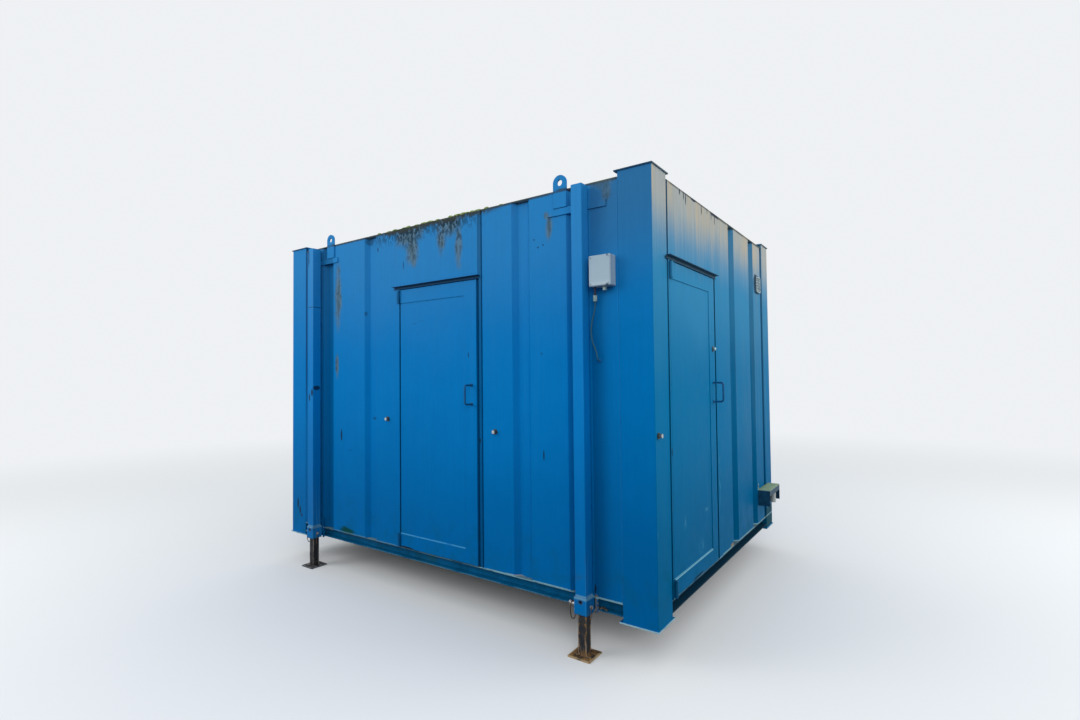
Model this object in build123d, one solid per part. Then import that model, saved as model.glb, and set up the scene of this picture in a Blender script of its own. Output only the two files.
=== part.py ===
"""Portable site cabin: a pressed-steel box room on four telescoping jack legs."""
from build123d import *
from math import radians, tan
import os

# Overall size, in millimetres. X runs along the long front, Y across, Z up from the ground
length = 3704.0
width = 2743.0
wall_base = 335.0
wall_height = 2523.0

# Corner posts and their end plates
post_drop = 114.0
post_rise = 46.0
post_face_long = 221.0
post_face_end = 215.0
post_wall = 5.0
post_fold_radius = 6.0
plate_thickness = 8.0
plate_overhang = 7.0
plate_inner_overhang = 20.0

# Pressed walls. Rib places are taken from the outer face of the nearest post
wall_thickness = 60.0
rib_opening = 150.0
rib_depth = 33.0
rib_pitch = 592.0
front_left_rib = 576.0
front_left_rib_count = 2
front_right_ribs = (950.0, 509.0)
end_rib = 1538.5
end_rib_count = 2
end_edge_recess = 291.5
joint_width = 6.0
joint_depth = 5.0

# Roof and floor
roof_sheet = 6.0
roof_rib_width = 110.0
roof_rib_height = 12.0
roof_rib_margin = 90.0
ceiling_thickness = 50.0
rail_height = 76.5
rail_steel = 6.0
deck_thickness = 25.0
joist_pitch = 500.0
joist_flange = 40.0
joist_steel = 4.0

# Door modules: a leaf in a steel frame that stands a little proud of the wall, hung on the left
module_proud = 6.0
leaf_thickness = 42.0
leaf_height = 2027.0
leaf_bottom_gap = 6.0
hinge_gap = 12.0
lock_gap = 26.0
head_gap = 6.0
stop_gap = 5.0
stop_lap = 15.0
head_face = 40.0
panel_rail = 106.0
panel_stile = 116.0
panel_depth = 4.0
front_door_from_end = 1549.0
front_hinge_jamb = 57.0
front_leaf_width = 808.0
front_lock_jamb = 21.0
front_handle_inset = 48.0
end_hinge_jamb = 20.0
end_leaf_width = 820.0
end_lock_jamb = 83.0
end_handle_inset = 41.5

# Butt hinges at the head and foot, with their flaps in the gap
barrel_radius = 11.0
barrel_length = 50.0
barrel_count = 2
barrel_margin = 5.0
barrel_stand_off = 0.5
hinge_pin_radius = 6.0
hinge_play = 0.3
flap_thickness = 3.0
flap_depth = 34.0

# Handles and the lock
handle_rod_radius = 7.0
handle_rod_sides = 8
handle_centres = 136.0
handle_reach = 70.0
handle_bend = 18.0
handle_above_foot = 1205.0
handle_rose_radius = 13.0
handle_rose = 3.0
lock_above_handle = 310.0
lock_radius = 14.0
lock_depth = 6.0
keyway_width = 3.0
keyway_height = 12.0

# Drip angle over each door
drip_clearance = 6.0
drip_beyond_hinge = 68.0
drip_beyond_lock = 38.0
drip_leg = 22.0
drip_out = 30.0
drip_steel = 3.0

# Jack legs
jack_from_end = 450.0
jack_housing_size = 75.0
jack_housing_wall = 5.0
jack_stand_off = 20.0
jack_housing_lift = 17.5
jack_housing_drop = 16.0
jack_leg_size = 55.0
jack_leg_wall = 5.0
jack_leg_engaged = 907.5
foot_size = 150.0
foot_thickness = 10.0
collar_size = 88.0
collar_wall = 6.0
collar_height = 101.0
collar_hole_drop = 26.0
seat_play = 0.3
jack_pin_radius = 10.0
jack_pin_play = 0.3
jack_pin_drop = 58.0
jack_pin_neck = 52.0
jack_pin_head_radius = 12.0
jack_pin_head = 6.0
jack_pin_tail = 14.0
strap_steel = 8.0
strap_height = 44.0
strap_inboard = 272.0
strap_outboard = 155.0
strap_below_eye = 3.0
low_strap_lift = 17.5
low_strap_left = 60.0
low_strap_leg = 18.0
low_strap_clearance = 5.0
low_strap_drop = 11.0

# Lifting eyes
eye_from_end = 623.0
eye_width = 100.0
eye_thickness = 12.0
eye_hole_rise = 50.0
eye_plate_drop = 160.0
eye_hole_radius = 20.0

# Junction box on the front wall, its glands and its cable
box_from_end = 385.0
box_width = 147.0
box_below_top = 464.0
box_height = 186.0
box_depth = 68.0
box_edge = 5.0
box_lid = 20.0
lid_joint = 2.0
gland_radius = 13.0
gland_length = 24.0
long_gland_stem_radius = 8.0
long_gland_stem = 50.0
long_gland_nut = 36.0
long_gland_inset = 25.0
short_gland_inset = 91.0
cable_diameter = 8.0
cable_sides = 8
bush_radius = 11.0
bush_length = 6.0
bend_share = 0.45

# The cable's points: to the right and down from the long gland's mouth, and out from the wall
cable_route = [(0, 0, 34), (0, 30, 34), (-7, 64, 34), (-24, 118, 35), (-31, 171, 36), (-25, 232, 36),
               (-11, 269, 35.5), (1, 298, 35), (8, 322, 34.5), (10, 340, 34), (10, 350.2, 28.1),
               (10, 356.1, 17.9), (10, 356.1, 6)]

# Fittings on the end wall and beside the front door
vent_from_end = 414.5
vent_below_top = 300.0
vent_size = 142.0
vent_depth = 18.0
vent_wall = 9.0
vent_recess = 12.0
vent_blades = 5
vent_blade = 4.0
vent_blade_set = 3.0
hood_from_end = 515.5
hood_width = 371.0
hood_above_base = 302.0
hood_height = 140.0
hood_lip = 52.0
hood_reach = 103.0
hood_sheet = 4.0
hood_tab_width = 25.0
hood_tab_height = 50.0
pipe_radius = 24.0
pipe_wall = 3.0
pipe_inset = 244.0
pipe_drop = 60.0
pipe_fall = 87.0
pipe_reach = 73.0
stud_above_base = (1004.0, 957.0, 990.0)
stud_beside_hinge = 158.0
stud_beside_lock = 165.0
stud_on_post = 41.0
stud_radius = 12.0
stud_collar_radius = 19.0
stud_collar = 5.0
stud_reach = 26.0

# Small round pieces that repeat are prisms with few sides
pin_sides = 12
barrel_sides = 16
pipe_sides = 24

# Derived places
wall_top = wall_base + wall_height
post_bottom = wall_base - post_drop
post_top = wall_top + post_rise
rail_bottom = wall_base - rail_height
roof_top = wall_top + roof_sheet
front = Pos(0, -width / 2, 0)
back = Pos(0, width / 2, 0) * Rot(0, 0, 180)
right_end = Pos(length / 2, 0, 0) * Rot(0, 0, 90)
left_end = Pos(-length / 2, 0, 0) * Rot(0, 0, -90)
long_half = length / 2 - post_face_long
end_half = width / 2 - post_face_end
module_depth = wall_thickness + module_proud
door_foot = wall_base + leaf_bottom_gap
leaf_top = door_foot + leaf_height
head_bottom = leaf_top + head_gap
head_top = head_bottom + head_face
handle_middle = door_foot + handle_above_foot
front_hinge_edge = -length / 2 + front_door_from_end
end_hinge_edge = -end_half + end_hinge_jamb + hinge_gap
housing_bottom = wall_base + jack_housing_lift
housing_top = wall_top - jack_housing_drop
jack_pin_height = housing_bottom - seat_play - jack_pin_drop
eye_hole_height = wall_top + eye_hole_rise
eye_bottom = eye_hole_height - eye_plate_drop
box_left = length / 2 - box_from_end
box_bottom = wall_top - box_below_top - box_height
box_top = box_bottom + box_height
gland_mouth = box_bottom - long_gland_stem - long_gland_nut
cabin_shift = -(hood_reach - plate_overhang) / 2


def block(x0, x1, y0, y1, z0, z1):
    """A rectangular solid between two corners."""
    middle = Pos((x0 + x1) / 2, (y0 + y1) / 2, (z0 + z1) / 2)
    return middle * Box(x1 - x0, y1 - y0, z1 - z0)


def prism(radius, height, sides, bore=False):
    """An upright prism about its own middle. A rod has its corners on the radius, a bore its flats."""
    outline = RegularPolygon(radius, sides, major_radius=not bore)
    return Pos(0, 0, -height / 2) * extrude(outline, height)


def disc(radius, thickness, sides=0):
    """A disc or rod on the outward axis of a wall, from its face at zero outwards: round, or with flat sides."""
    body = prism(radius, thickness, sides) if sides else Cylinder(radius, thickness)
    return Pos(0, -thickness / 2, 0) * Rot(90, 0, 0) * body


def wall_panel(side, start, stop, ribs=(), low=wall_base, proud=0, edge_recess=None, jointed=False):
    """A wall with pressed recesses outside and a flat lining inside."""
    half = rib_opening / 2
    points = [(start, -proud)]
    if jointed:
        points = [(start, joint_depth), (start + joint_width, joint_depth), (start + joint_width, 0)]
    for rib in ribs:
        points += [(rib - half, 0), (rib - half + rib_depth, rib_depth)]
        points += [(rib + half - rib_depth, rib_depth), (rib + half, 0)]
    if edge_recess is None:
        points.append((stop, -proud))
    else:
        points += [(edge_recess, 0), (edge_recess + rib_depth, rib_depth), (stop, rib_depth)]
    points += [(stop, wall_thickness), (start, wall_thickness)]
    outline = make_face(Polyline(*points, close=True))
    return side * Pos(0, 0, low) * extrude(outline, wall_top - low)


def regular_ribs(half_span):
    """Rib middles at the usual pitch, balanced about the middle of a plain wall."""
    count = 2 * int((half_span - rib_opening / 2 + rib_pitch / 2) // rib_pitch)
    return [(place - (count - 1) / 2) * rib_pitch for place in range(count)]


def corner_post(sign_x, sign_y):
    """A folded square-section post."""
    outer = RectangleRounded(post_face_long, post_face_end, post_fold_radius)
    inner = Rectangle(post_face_long - 2 * post_wall, post_face_end - 2 * post_wall)
    tube = extrude(outer - inner, post_top - post_bottom - 2 * plate_thickness)
    x = sign_x * (length - post_face_long) / 2
    y = sign_y * (width - post_face_end) / 2
    return Pos(x, y, post_bottom + plate_thickness) * tube


def post_plates(bottom):
    """The four square plates that close the posts at one end."""
    size_x = post_face_long + plate_overhang + plate_inner_overhang
    size_y = post_face_end + plate_overhang + plate_inner_overhang
    x = length / 2 + plate_overhang - size_x / 2
    y = width / 2 + plate_overhang - size_y / 2
    plate = Box(size_x, size_y, plate_thickness)
    height = bottom + plate_thickness / 2
    return Compound([Pos(i * x, j * y, height) * plate for i in (-1, 1) for j in (-1, 1)])


def bottom_rails():
    """Channels between the posts, open side out, that carry the walls."""
    def rail(side, half):
        channel = block(-half, half, 0, wall_thickness, rail_bottom, wall_base)
        mouth = block(-half, half, 0, wall_thickness - rail_steel,
                      rail_bottom + rail_steel, wall_base - rail_steel)
        return side * (channel - mouth)
    return Compound([rail(front, long_half), rail(back, long_half),
                     rail(right_end, end_half), rail(left_end, end_half)])


def floor_joists():
    """Channels across the cabin under the deck."""
    span = width - 2 * wall_thickness
    top = wall_base - deck_thickness
    count = 2 * int(long_half // joist_pitch) + 1
    solids = []
    for place in range(count):
        x = (place - (count - 1) / 2) * joist_pitch
        joist = block(x, x + joist_flange, -span / 2, span / 2, rail_bottom, top)
        joist -= block(x + joist_steel, x + joist_flange, -span / 2, span / 2,
                       rail_bottom + joist_steel, top - joist_steel)
        solids.append(joist)
    return Compound(solids)


def post_clearance(low, high):
    """The space the four posts take up."""
    post = Box(post_face_long, post_face_end, high - low)
    x = (length - post_face_long) / 2
    y = (width - post_face_end) / 2
    return [Pos(i * x, j * y, (low + high) / 2) * post for i in (-1, 1) for j in (-1, 1)]


def inner_slab(low, high):
    """A slab that fills the room from wall to wall, cut round the posts."""
    half_x = length / 2 - wall_thickness
    half_y = width / 2 - wall_thickness
    return block(-half_x, half_x, -half_y, half_y, low, high) - post_clearance(low, high)


def roof():
    """The roof sheet to the wall faces, with pressed ribs across it and the ceiling under it."""
    sheet = block(-length / 2, length / 2, -width / 2, width / 2, wall_top, roof_top)
    sheet -= post_clearance(wall_top, roof_top)
    half_span = width / 2 - wall_thickness - roof_rib_margin
    profile = make_face(Polyline((-roof_rib_width / 2, 0), (roof_rib_width / 2, 0),
                                 (roof_rib_width / 2 - roof_rib_height, roof_rib_height),
                                 (-roof_rib_width / 2 + roof_rib_height, roof_rib_height), close=True))
    rib = Pos(0, half_span, roof_top) * extrude(Plane.XZ * profile, 2 * half_span)
    for x in regular_ribs(long_half):
        sheet += Pos(x, 0, 0) * rib
    return sheet + inner_slab(wall_top - ceiling_thickness, wall_top)


def door_jambs(module, hinge_edge, leaf_width, hinge_jamb, lock_jamb):
    """Both upright frame members, each with a stop behind the leaf."""
    lock_edge = hinge_edge + leaf_width
    stop_face = leaf_thickness + stop_gap
    left = block(hinge_edge - hinge_gap - hinge_jamb, hinge_edge - hinge_gap,
                 0, module_depth, wall_base, head_bottom)
    left += block(hinge_edge - hinge_gap, hinge_edge + stop_lap,
                  stop_face, module_depth, wall_base, head_bottom)
    right = block(lock_edge + lock_gap, lock_edge + lock_gap + lock_jamb,
                  0, module_depth, wall_base, head_bottom)
    right += block(lock_edge - stop_lap, lock_edge + lock_gap,
                   stop_face, module_depth, wall_base, head_bottom)
    return Compound([module * left, module * right])


def door_head_and_sill(module, hinge_edge, leaf_width, hinge_jamb, lock_jamb):
    """The frame's head, and the low sill behind the leaf's foot."""
    lock_edge = hinge_edge + leaf_width
    stop_face = leaf_thickness + stop_gap
    start = hinge_edge - hinge_gap - hinge_jamb
    stop = lock_edge + lock_gap + lock_jamb
    inner_start = hinge_edge + stop_lap
    inner_stop = lock_edge - stop_lap
    head = block(start, stop, 0, module_depth, head_bottom, head_top)
    head += block(inner_start, inner_stop, stop_face, module_depth, leaf_top - stop_lap, head_bottom)
    sill = block(inner_start, inner_stop, stop_face, module_depth, wall_base, door_foot + stop_lap)
    return Compound([module * head, module * sill])


def door_leaf(module, hinge_edge, leaf_width):
    """A steel leaf: a sunk panel between rails at head and foot and a stile on the lock side."""
    lock_edge = hinge_edge + leaf_width
    leaf = block(hinge_edge, lock_edge, 0, leaf_thickness, door_foot, leaf_top)
    leaf -= block(hinge_edge, lock_edge - panel_stile, 0, panel_depth,
                  door_foot + panel_rail, leaf_top - panel_rail)
    return module * leaf


def hinge_feet():
    """Heights of the foot of each hinge."""
    low = door_foot + barrel_margin
    high = leaf_top - barrel_margin - 2 * barrel_length
    return [low + (high - low) * place / (barrel_count - 1) for place in range(barrel_count)]


def hinge_halves(module, hinge_edge, moving):
    """The lower, fixed barrels with their pins, or the upper barrels on the leaf."""
    jamb_edge = hinge_edge - hinge_gap
    axis_u = jamb_edge
    axis_v = -barrel_radius - barrel_stand_off
    solids = []
    for foot in hinge_feet():
        low = foot + barrel_length + hinge_play if moving else foot
        high = low + barrel_length
        middle = Pos(axis_u, axis_v, (low + high) / 2)
        half = middle * prism(barrel_radius, barrel_length, barrel_sides)
        if moving:
            half += block(hinge_edge - flap_thickness, hinge_edge, axis_v, flap_depth, low, high)
            half -= middle * prism(hinge_pin_radius + hinge_play, barrel_length, pin_sides, bore=True)
        else:
            half += block(jamb_edge, jamb_edge + flap_thickness, axis_v, flap_depth, low, high)
            pin_top = foot + 2 * barrel_length + hinge_play
            pin = prism(hinge_pin_radius, pin_top - low, pin_sides)
            half += Pos(axis_u, axis_v, (low + pin_top) / 2) * pin
        solids.append(module * half)
    return solids


def door_handle(module, place):
    """A bent rod on two small roses."""
    half = handle_centres / 2
    low = handle_middle - half
    high = handle_middle + half
    points = [(place, -handle_rose, low), (place, -handle_reach, low),
              (place, -handle_reach, high), (place, -handle_rose, high)]
    path = FilletPolyline(*points, radius=handle_bend)
    start = Plane(origin=points[0], x_dir=(1, 0, 0), z_dir=(0, -1, 0))
    rod = sweep(start * RegularPolygon(handle_rod_radius, handle_rod_sides), path=path)
    for height in (low, high):
        rod += Pos(place, 0, height) * disc(handle_rose_radius, handle_rose, barrel_sides)
    return module * rod


def door_lock(module, place):
    """A round lock cylinder with its keyway, a little proud of the stile."""
    lock = disc(lock_radius, lock_depth)
    lock -= block(-keyway_width / 2, keyway_width / 2, -lock_depth, -lock_depth / 2,
                  -keyway_height / 2, keyway_height / 2)
    return module * Pos(place, 0, handle_middle + lock_above_handle) * lock


def drip_angle(module, hinge_edge, leaf_width):
    """A steel angle over a door, ledge uppermost."""
    start = hinge_edge - drip_beyond_hinge
    stop = hinge_edge + leaf_width + drip_beyond_lock
    low = leaf_top + drip_clearance
    angle = block(start, stop, -drip_steel, 0, low, low + drip_leg)
    angle += block(start, stop, -drip_out, 0, low + drip_leg - drip_steel, low + drip_leg)
    return module * angle


def jack_places():
    """Name, side and place along the side of each jack, seen from outside that side."""
    half = length / 2 - jack_from_end
    return (("front_left", front, -half), ("front_right", front, half),
            ("back_right", back, -half), ("back_left", back, half))


def square_tube(size, wall, low, high):
    """An upright square tube."""
    ring = Rectangle(size, size) - Rectangle(size - 2 * wall, size - 2 * wall)
    return Pos(0, 0, low) * extrude(ring, high - low)


def jack_axis(side, place):
    """The place of a jack's upright axis."""
    return side * Pos(place, -jack_stand_off - jack_housing_size / 2, 0)


def jack_housing(side, place):
    """The outer tube, closed at its top."""
    tube = square_tube(jack_housing_size, jack_housing_wall, housing_bottom, housing_top)
    lid = block(-jack_housing_size / 2, jack_housing_size / 2, -jack_housing_size / 2,
                jack_housing_size / 2, housing_top - jack_housing_wall, housing_top)
    return jack_axis(side, place) * (tube + lid)


def jack_leg(side, place):
    """The inner tube and the foot plate welded under it."""
    leg = square_tube(jack_leg_size, jack_leg_wall, foot_thickness, housing_bottom + jack_leg_engaged)
    leg += Pos(0, 0, foot_thickness / 2) * Box(foot_size, foot_size, foot_thickness)
    bore = Rot(0, 90, 0) * prism(jack_pin_radius + jack_pin_play, 2 * jack_leg_size, pin_sides, bore=True)
    return jack_axis(side, place) * (leg - Pos(0, 0, jack_pin_height) * bore)


def jack_collar(side, place):
    """The sleeve that is pinned to the leg and takes the housing's weight."""
    top = housing_bottom - seat_play
    sleeve = square_tube(collar_size, collar_wall, top - collar_height, top)
    ledge = Rectangle(collar_size, collar_size) - Rectangle(jack_leg_size + 2 * seat_play,
                                                            jack_leg_size + 2 * seat_play)
    sleeve += Pos(0, 0, top - collar_wall) * extrude(ledge, collar_wall)
    bore = prism(jack_pin_radius + jack_pin_play, 2 * collar_size, pin_sides, bore=True)
    sleeve -= Pos(0, 0, jack_pin_height) * Rot(0, 90, 0) * bore
    front_hole = Pos(0, -collar_size / 2, top - collar_hole_drop) * Rot(90, 0, 0) * prism(
        jack_pin_radius, 3 * collar_wall, pin_sides, bore=True)
    return jack_axis(side, place) * (sleeve - front_hole)


def jack_pin(side, place):
    """The cross pin: a long neck and round head on the left, a short tail on the right."""
    left = -collar_size / 2 - jack_pin_neck
    right = collar_size / 2 + jack_pin_tail
    shank = Pos((left + right) / 2, 0, 0) * Rot(0, 90, 0) * prism(jack_pin_radius, right - left, pin_sides)
    head = Pos(left - jack_pin_head / 2, 0, 0) * Rot(0, 90, 0) * prism(
        jack_pin_head_radius, jack_pin_head, pin_sides)
    return jack_axis(side, place) * Pos(0, 0, jack_pin_height) * (shank + head)


def jack_straps():
    """Flats on the wall with packers behind each housing: one near its top, and an angle at its foot."""
    solids = []
    half = jack_leg_size / 2
    top = eye_bottom - strap_below_eye
    low = housing_bottom + low_strap_lift
    leg_start = collar_size / 2 + low_strap_clearance
    leg_stop = leg_start + low_strap_leg
    for _, side, place in jack_places():
        sign = 1 if place > 0 else -1
        spans = sorted((-sign * strap_inboard, sign * strap_outboard))
        upper = block(spans[0], spans[1], -strap_steel, 0, top - strap_height, top)
        upper += block(-half, half, -jack_stand_off, -strap_steel, top - strap_height, top)
        lower = block(-low_strap_left, leg_stop, -strap_steel, 0, low, low + strap_height)
        lower += block(leg_start, leg_stop, -strap_steel, 0, rail_bottom - low_strap_drop, low)
        lower += block(-half, half, -jack_stand_off, -strap_steel, low, low + strap_height)
        solids += [side * Pos(place, 0, 0) * upper, side * Pos(place, 0, 0) * lower]
    return Compound(solids)


def lifting_eye(side, place):
    """A plate with a round head and a hole, welded to the face of the wall."""
    outline = Pos(0, eye_hole_height - eye_plate_drop / 2) * Rectangle(eye_width, eye_plate_drop)
    outline += Pos(0, eye_hole_height) * Circle(eye_width / 2)
    outline -= Pos(0, eye_hole_height) * Circle(eye_hole_radius)
    return side * Pos(place, 0, 0) * extrude(Plane.XZ * outline, eye_thickness)


def junction_box():
    """A moulded box with bevelled edges and a lid joint round it."""
    box = block(box_left, box_left + box_width, -box_depth, 0, box_bottom, box_top)
    edges = box.edges().filter_by(Axis.Y) + box.faces().sort_by(Axis.Y)[0].edges()
    box = chamfer(edges, box_edge)
    joint_near = box_lid - box_depth
    joint = block(box_left, box_left + box_width, joint_near, joint_near + lid_joint, box_bottom, box_top)
    core = block(box_left + lid_joint, box_left + box_width - lid_joint, joint_near,
                 joint_near + lid_joint, box_bottom + lid_joint, box_top - lid_joint)
    return front * (box - (joint - core))


def cable_glands():
    """A short gland and a long one under the box, and the bush where the cable enters the wall."""
    middle = front * Pos(box_left, -box_depth / 2, box_bottom)
    nut = RegularPolygon(gland_radius, 6)
    short = Pos(short_gland_inset, 0, 0) * extrude(nut, -gland_length)
    stem = Pos(0, 0, -long_gland_stem / 2) * Cylinder(long_gland_stem_radius, long_gland_stem)
    stem += Pos(0, 0, -long_gland_stem) * extrude(nut, -long_gland_nut)
    across, below, out = cable_route[-1]
    bush = Pos(box_left + long_gland_inset + across, 0, gland_mouth - below) * disc(bush_radius, bush_length)
    return Compound([middle * short, middle * Pos(long_gland_inset, 0, 0) * stem, front * bush])


def cable_radii(points):
    """The largest arc that each corner's two runs allow."""
    radii = []
    for before, corner, after in zip(points, points[1:], points[2:]):
        turn = (corner - before).get_angle(after - corner)
        shorter = min((corner - before).length, (after - corner).length)
        radii.append(bend_share * shorter / tan(radians(turn) / 2))
    return radii


def cable():
    """A thin cable from the long gland to the bush, straight runs joined by arcs."""
    points = [Vector(box_left + long_gland_inset + across, -out, gland_mouth - down)
              for across, down, out in cable_route]
    radii = cable_radii(points)
    path = FilletPolyline(*points, radius=radii)
    print("cable radii", [round(radius) for radius in radii], "length", round(path.length))
    start = Plane(origin=points[0], x_dir=(1, 0, 0), z_dir=(0, 0, -1))
    return front * sweep(start * RegularPolygon(cable_diameter / 2, cable_sides), path=path)


def vent():
    """A square vent with level blades in its mouth."""
    half = vent_size / 2
    top = wall_top - vent_below_top
    body = block(-half, half, -vent_depth, 0, top - vent_size, top)
    body -= block(-half + vent_wall, half - vent_wall, -vent_depth, -vent_depth + vent_recess,
                  top - vent_size + vent_wall, top - vent_wall)
    pitch = (vent_size - 2 * vent_wall) / vent_blades
    for place in range(vent_blades):
        height = top - vent_wall - pitch * (place + 0.5)
        blade = block(-half + vent_wall, half - vent_wall, -vent_depth + vent_blade_set,
                      -vent_depth + vent_recess, height - vent_blade / 2, height + vent_blade / 2)
        body += blade
    return right_end * Pos(width / 2 - vent_from_end, 0, 0) * body


def service_hood():
    """A folded hood over the services, with a lip in front and a tab on the wall, open below."""
    start = width / 2 - hood_from_end
    stop = start + hood_width
    top = wall_base + hood_above_base
    bottom = top - hood_height
    hood = block(start, stop, -hood_reach, 0, bottom, top)
    hood -= block(start + hood_sheet, stop - hood_sheet, hood_sheet - hood_reach, 0, bottom, top - hood_sheet)
    hood -= block(start + hood_sheet, stop - hood_sheet, -hood_reach, hood_sheet - hood_reach,
                  bottom, top - hood_lip)
    hood += block(start, start + hood_tab_width, -hood_sheet, 0, top, top + hood_tab_height)
    return right_end * hood


def waste_pipe():
    """A pipe that comes out of the wall under the hood and turns down through a mitred elbow."""
    place = width / 2 - hood_from_end + pipe_inset
    height = wall_base + hood_above_base - pipe_drop
    corner = (place, -pipe_reach, height)
    path = Polyline((place, 0, height), corner, (place, -pipe_reach, height - pipe_fall))
    start = Plane(origin=(place, 0, height), x_dir=(1, 0, 0), z_dir=(0, -1, 0))
    ring = RegularPolygon(pipe_radius, pipe_sides) - RegularPolygon(pipe_radius - pipe_wall, pipe_sides)
    return right_end * sweep(start * ring, path=path, transition=Transition.RIGHT)


def stud():
    """A short round stud on a collar."""
    return disc(stud_radius, stud_reach) + disc(stud_collar_radius, stud_collar)


def wall_studs():
    """Studs at both sides of the front door and on the post beside the end door."""
    places = ((front, front_hinge_edge - stud_beside_hinge, stud_above_base[0]),
              (front, front_hinge_edge + front_leaf_width + stud_beside_lock, stud_above_base[1]),
              (right_end, -width / 2 + stud_on_post, stud_above_base[2]))
    return Compound([side * Pos(place, 0, wall_base + height) * stud() for side, place, height in places])


def add_walls(pieces):
    """The posts, rails, floor, roof and wall panels."""
    for name, sign_x, sign_y in (("front_left", -1, -1), ("front_right", 1, -1),
                                 ("back_right", 1, 1), ("back_left", -1, 1)):
        pieces["corner_post_" + name] = corner_post(sign_x, sign_y)
    pieces["post_base_plates"] = post_plates(post_bottom)
    pieces["post_cap_plates"] = post_plates(post_top - plate_thickness)
    pieces["bottom_rails"] = bottom_rails()
    pieces["floor_joists"] = floor_joists()
    pieces["floor_deck"] = inner_slab(wall_base - deck_thickness, wall_base)
    pieces["roof"] = roof()
    front_start = front_hinge_edge - hinge_gap - front_hinge_jamb
    front_stop = front_hinge_edge + front_leaf_width + lock_gap + front_lock_jamb
    end_start = end_hinge_edge - hinge_gap - end_hinge_jamb
    end_stop = end_hinge_edge + end_leaf_width + lock_gap + end_lock_jamb
    left_ribs = [front_left_rib - length / 2 + rib_pitch * n for n in range(front_left_rib_count)]
    right_ribs = [length / 2 - place for place in front_right_ribs]
    end_ribs = [end_rib - width / 2 + rib_pitch * n for n in range(end_rib_count)]
    pieces["front_wall_left"] = wall_panel(front, -long_half, front_start, left_ribs)
    pieces["front_wall_right"] = wall_panel(front, front_stop, long_half, right_ribs, jointed=True)
    pieces["front_wall_header"] = wall_panel(front, front_start, front_stop, low=head_top, proud=module_proud)
    pieces["end_wall"] = wall_panel(right_end, end_stop, end_half, end_ribs, jointed=True,
                                    edge_recess=width / 2 - end_edge_recess)
    pieces["end_wall_header"] = wall_panel(right_end, end_start, end_stop, low=head_top, proud=module_proud)
    pieces["back_wall"] = wall_panel(back, -long_half, long_half, regular_ribs(long_half))
    pieces["left_end_wall"] = wall_panel(left_end, -end_half, end_half, regular_ribs(end_half))


def add_doors(pieces):
    """Both doors with their frames, hinges, handles and drip angles."""
    fixed_halves = []
    drips = []
    for name, side, hinge_edge, leaf_width, hinge_jamb, lock_jamb, inset in (
            ("front_door", front, front_hinge_edge, front_leaf_width,
             front_hinge_jamb, front_lock_jamb, front_handle_inset),
            ("end_door", right_end, end_hinge_edge, end_leaf_width,
             end_hinge_jamb, end_lock_jamb, end_handle_inset)):
        module = side * Pos(0, -module_proud, 0)
        handle_place = hinge_edge + leaf_width - inset
        pieces[name + "_jambs"] = door_jambs(module, hinge_edge, leaf_width, hinge_jamb, lock_jamb)
        pieces[name + "_head_and_sill"] = door_head_and_sill(module, hinge_edge, leaf_width,
                                                             hinge_jamb, lock_jamb)
        pieces[name + "_leaf"] = door_leaf(module, hinge_edge, leaf_width)
        pieces[name + "_hinge_barrels"] = Compound(hinge_halves(module, hinge_edge, moving=True))
        pieces[name + "_handle"] = door_handle(module, handle_place)
        fixed_halves += hinge_halves(module, hinge_edge, moving=False)
        drips.append(drip_angle(module, hinge_edge, leaf_width))
    pieces["end_door_lock"] = door_lock(module, handle_place)
    pieces["door_hinge_pins"] = Compound(fixed_halves)
    pieces["drip_angles"] = Compound(drips)


def add_jacks(pieces):
    """The four jack legs and the lifting eyes over them."""
    for name, side, place in jack_places():
        pieces["jack_housing_" + name] = jack_housing(side, place)
        pieces["jack_leg_" + name] = jack_leg(side, place)
        pieces["jack_collar_" + name] = Compound([jack_collar(side, place), jack_pin(side, place)])
        sign = 1 if place > 0 else -1
        pieces["lifting_eye_" + name] = lifting_eye(side, sign * (length / 2 - eye_from_end))
    pieces["jack_straps"] = jack_straps()


def add_fittings(pieces):
    """The junction box with its cable, the vent, the hood with its pipe, and the studs."""
    pieces["junction_box"] = junction_box()
    pieces["cable_glands"] = cable_glands()
    pieces["cable"] = cable()
    pieces["vent"] = vent()
    pieces["service_hood"] = service_hood()
    pieces["waste_pipe"] = waste_pipe()
    pieces["wall_studs"] = wall_studs()


cabin = {}
add_walls(cabin)
add_doors(cabin)
add_jacks(cabin)
add_fittings(cabin)
os.makedirs("parts", exist_ok=True)
for node, shape in cabin.items():
    export_step(Pos(cabin_shift, 0, 0) * shape, "parts/" + node + ".step")
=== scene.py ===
"""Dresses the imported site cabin: its weathered azure paint, the rust and grime, and the small fittings."""
import math
from functools import cached_property

import bmesh
import bpy
import numpy as np
from mathutils import Matrix, Vector


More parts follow.
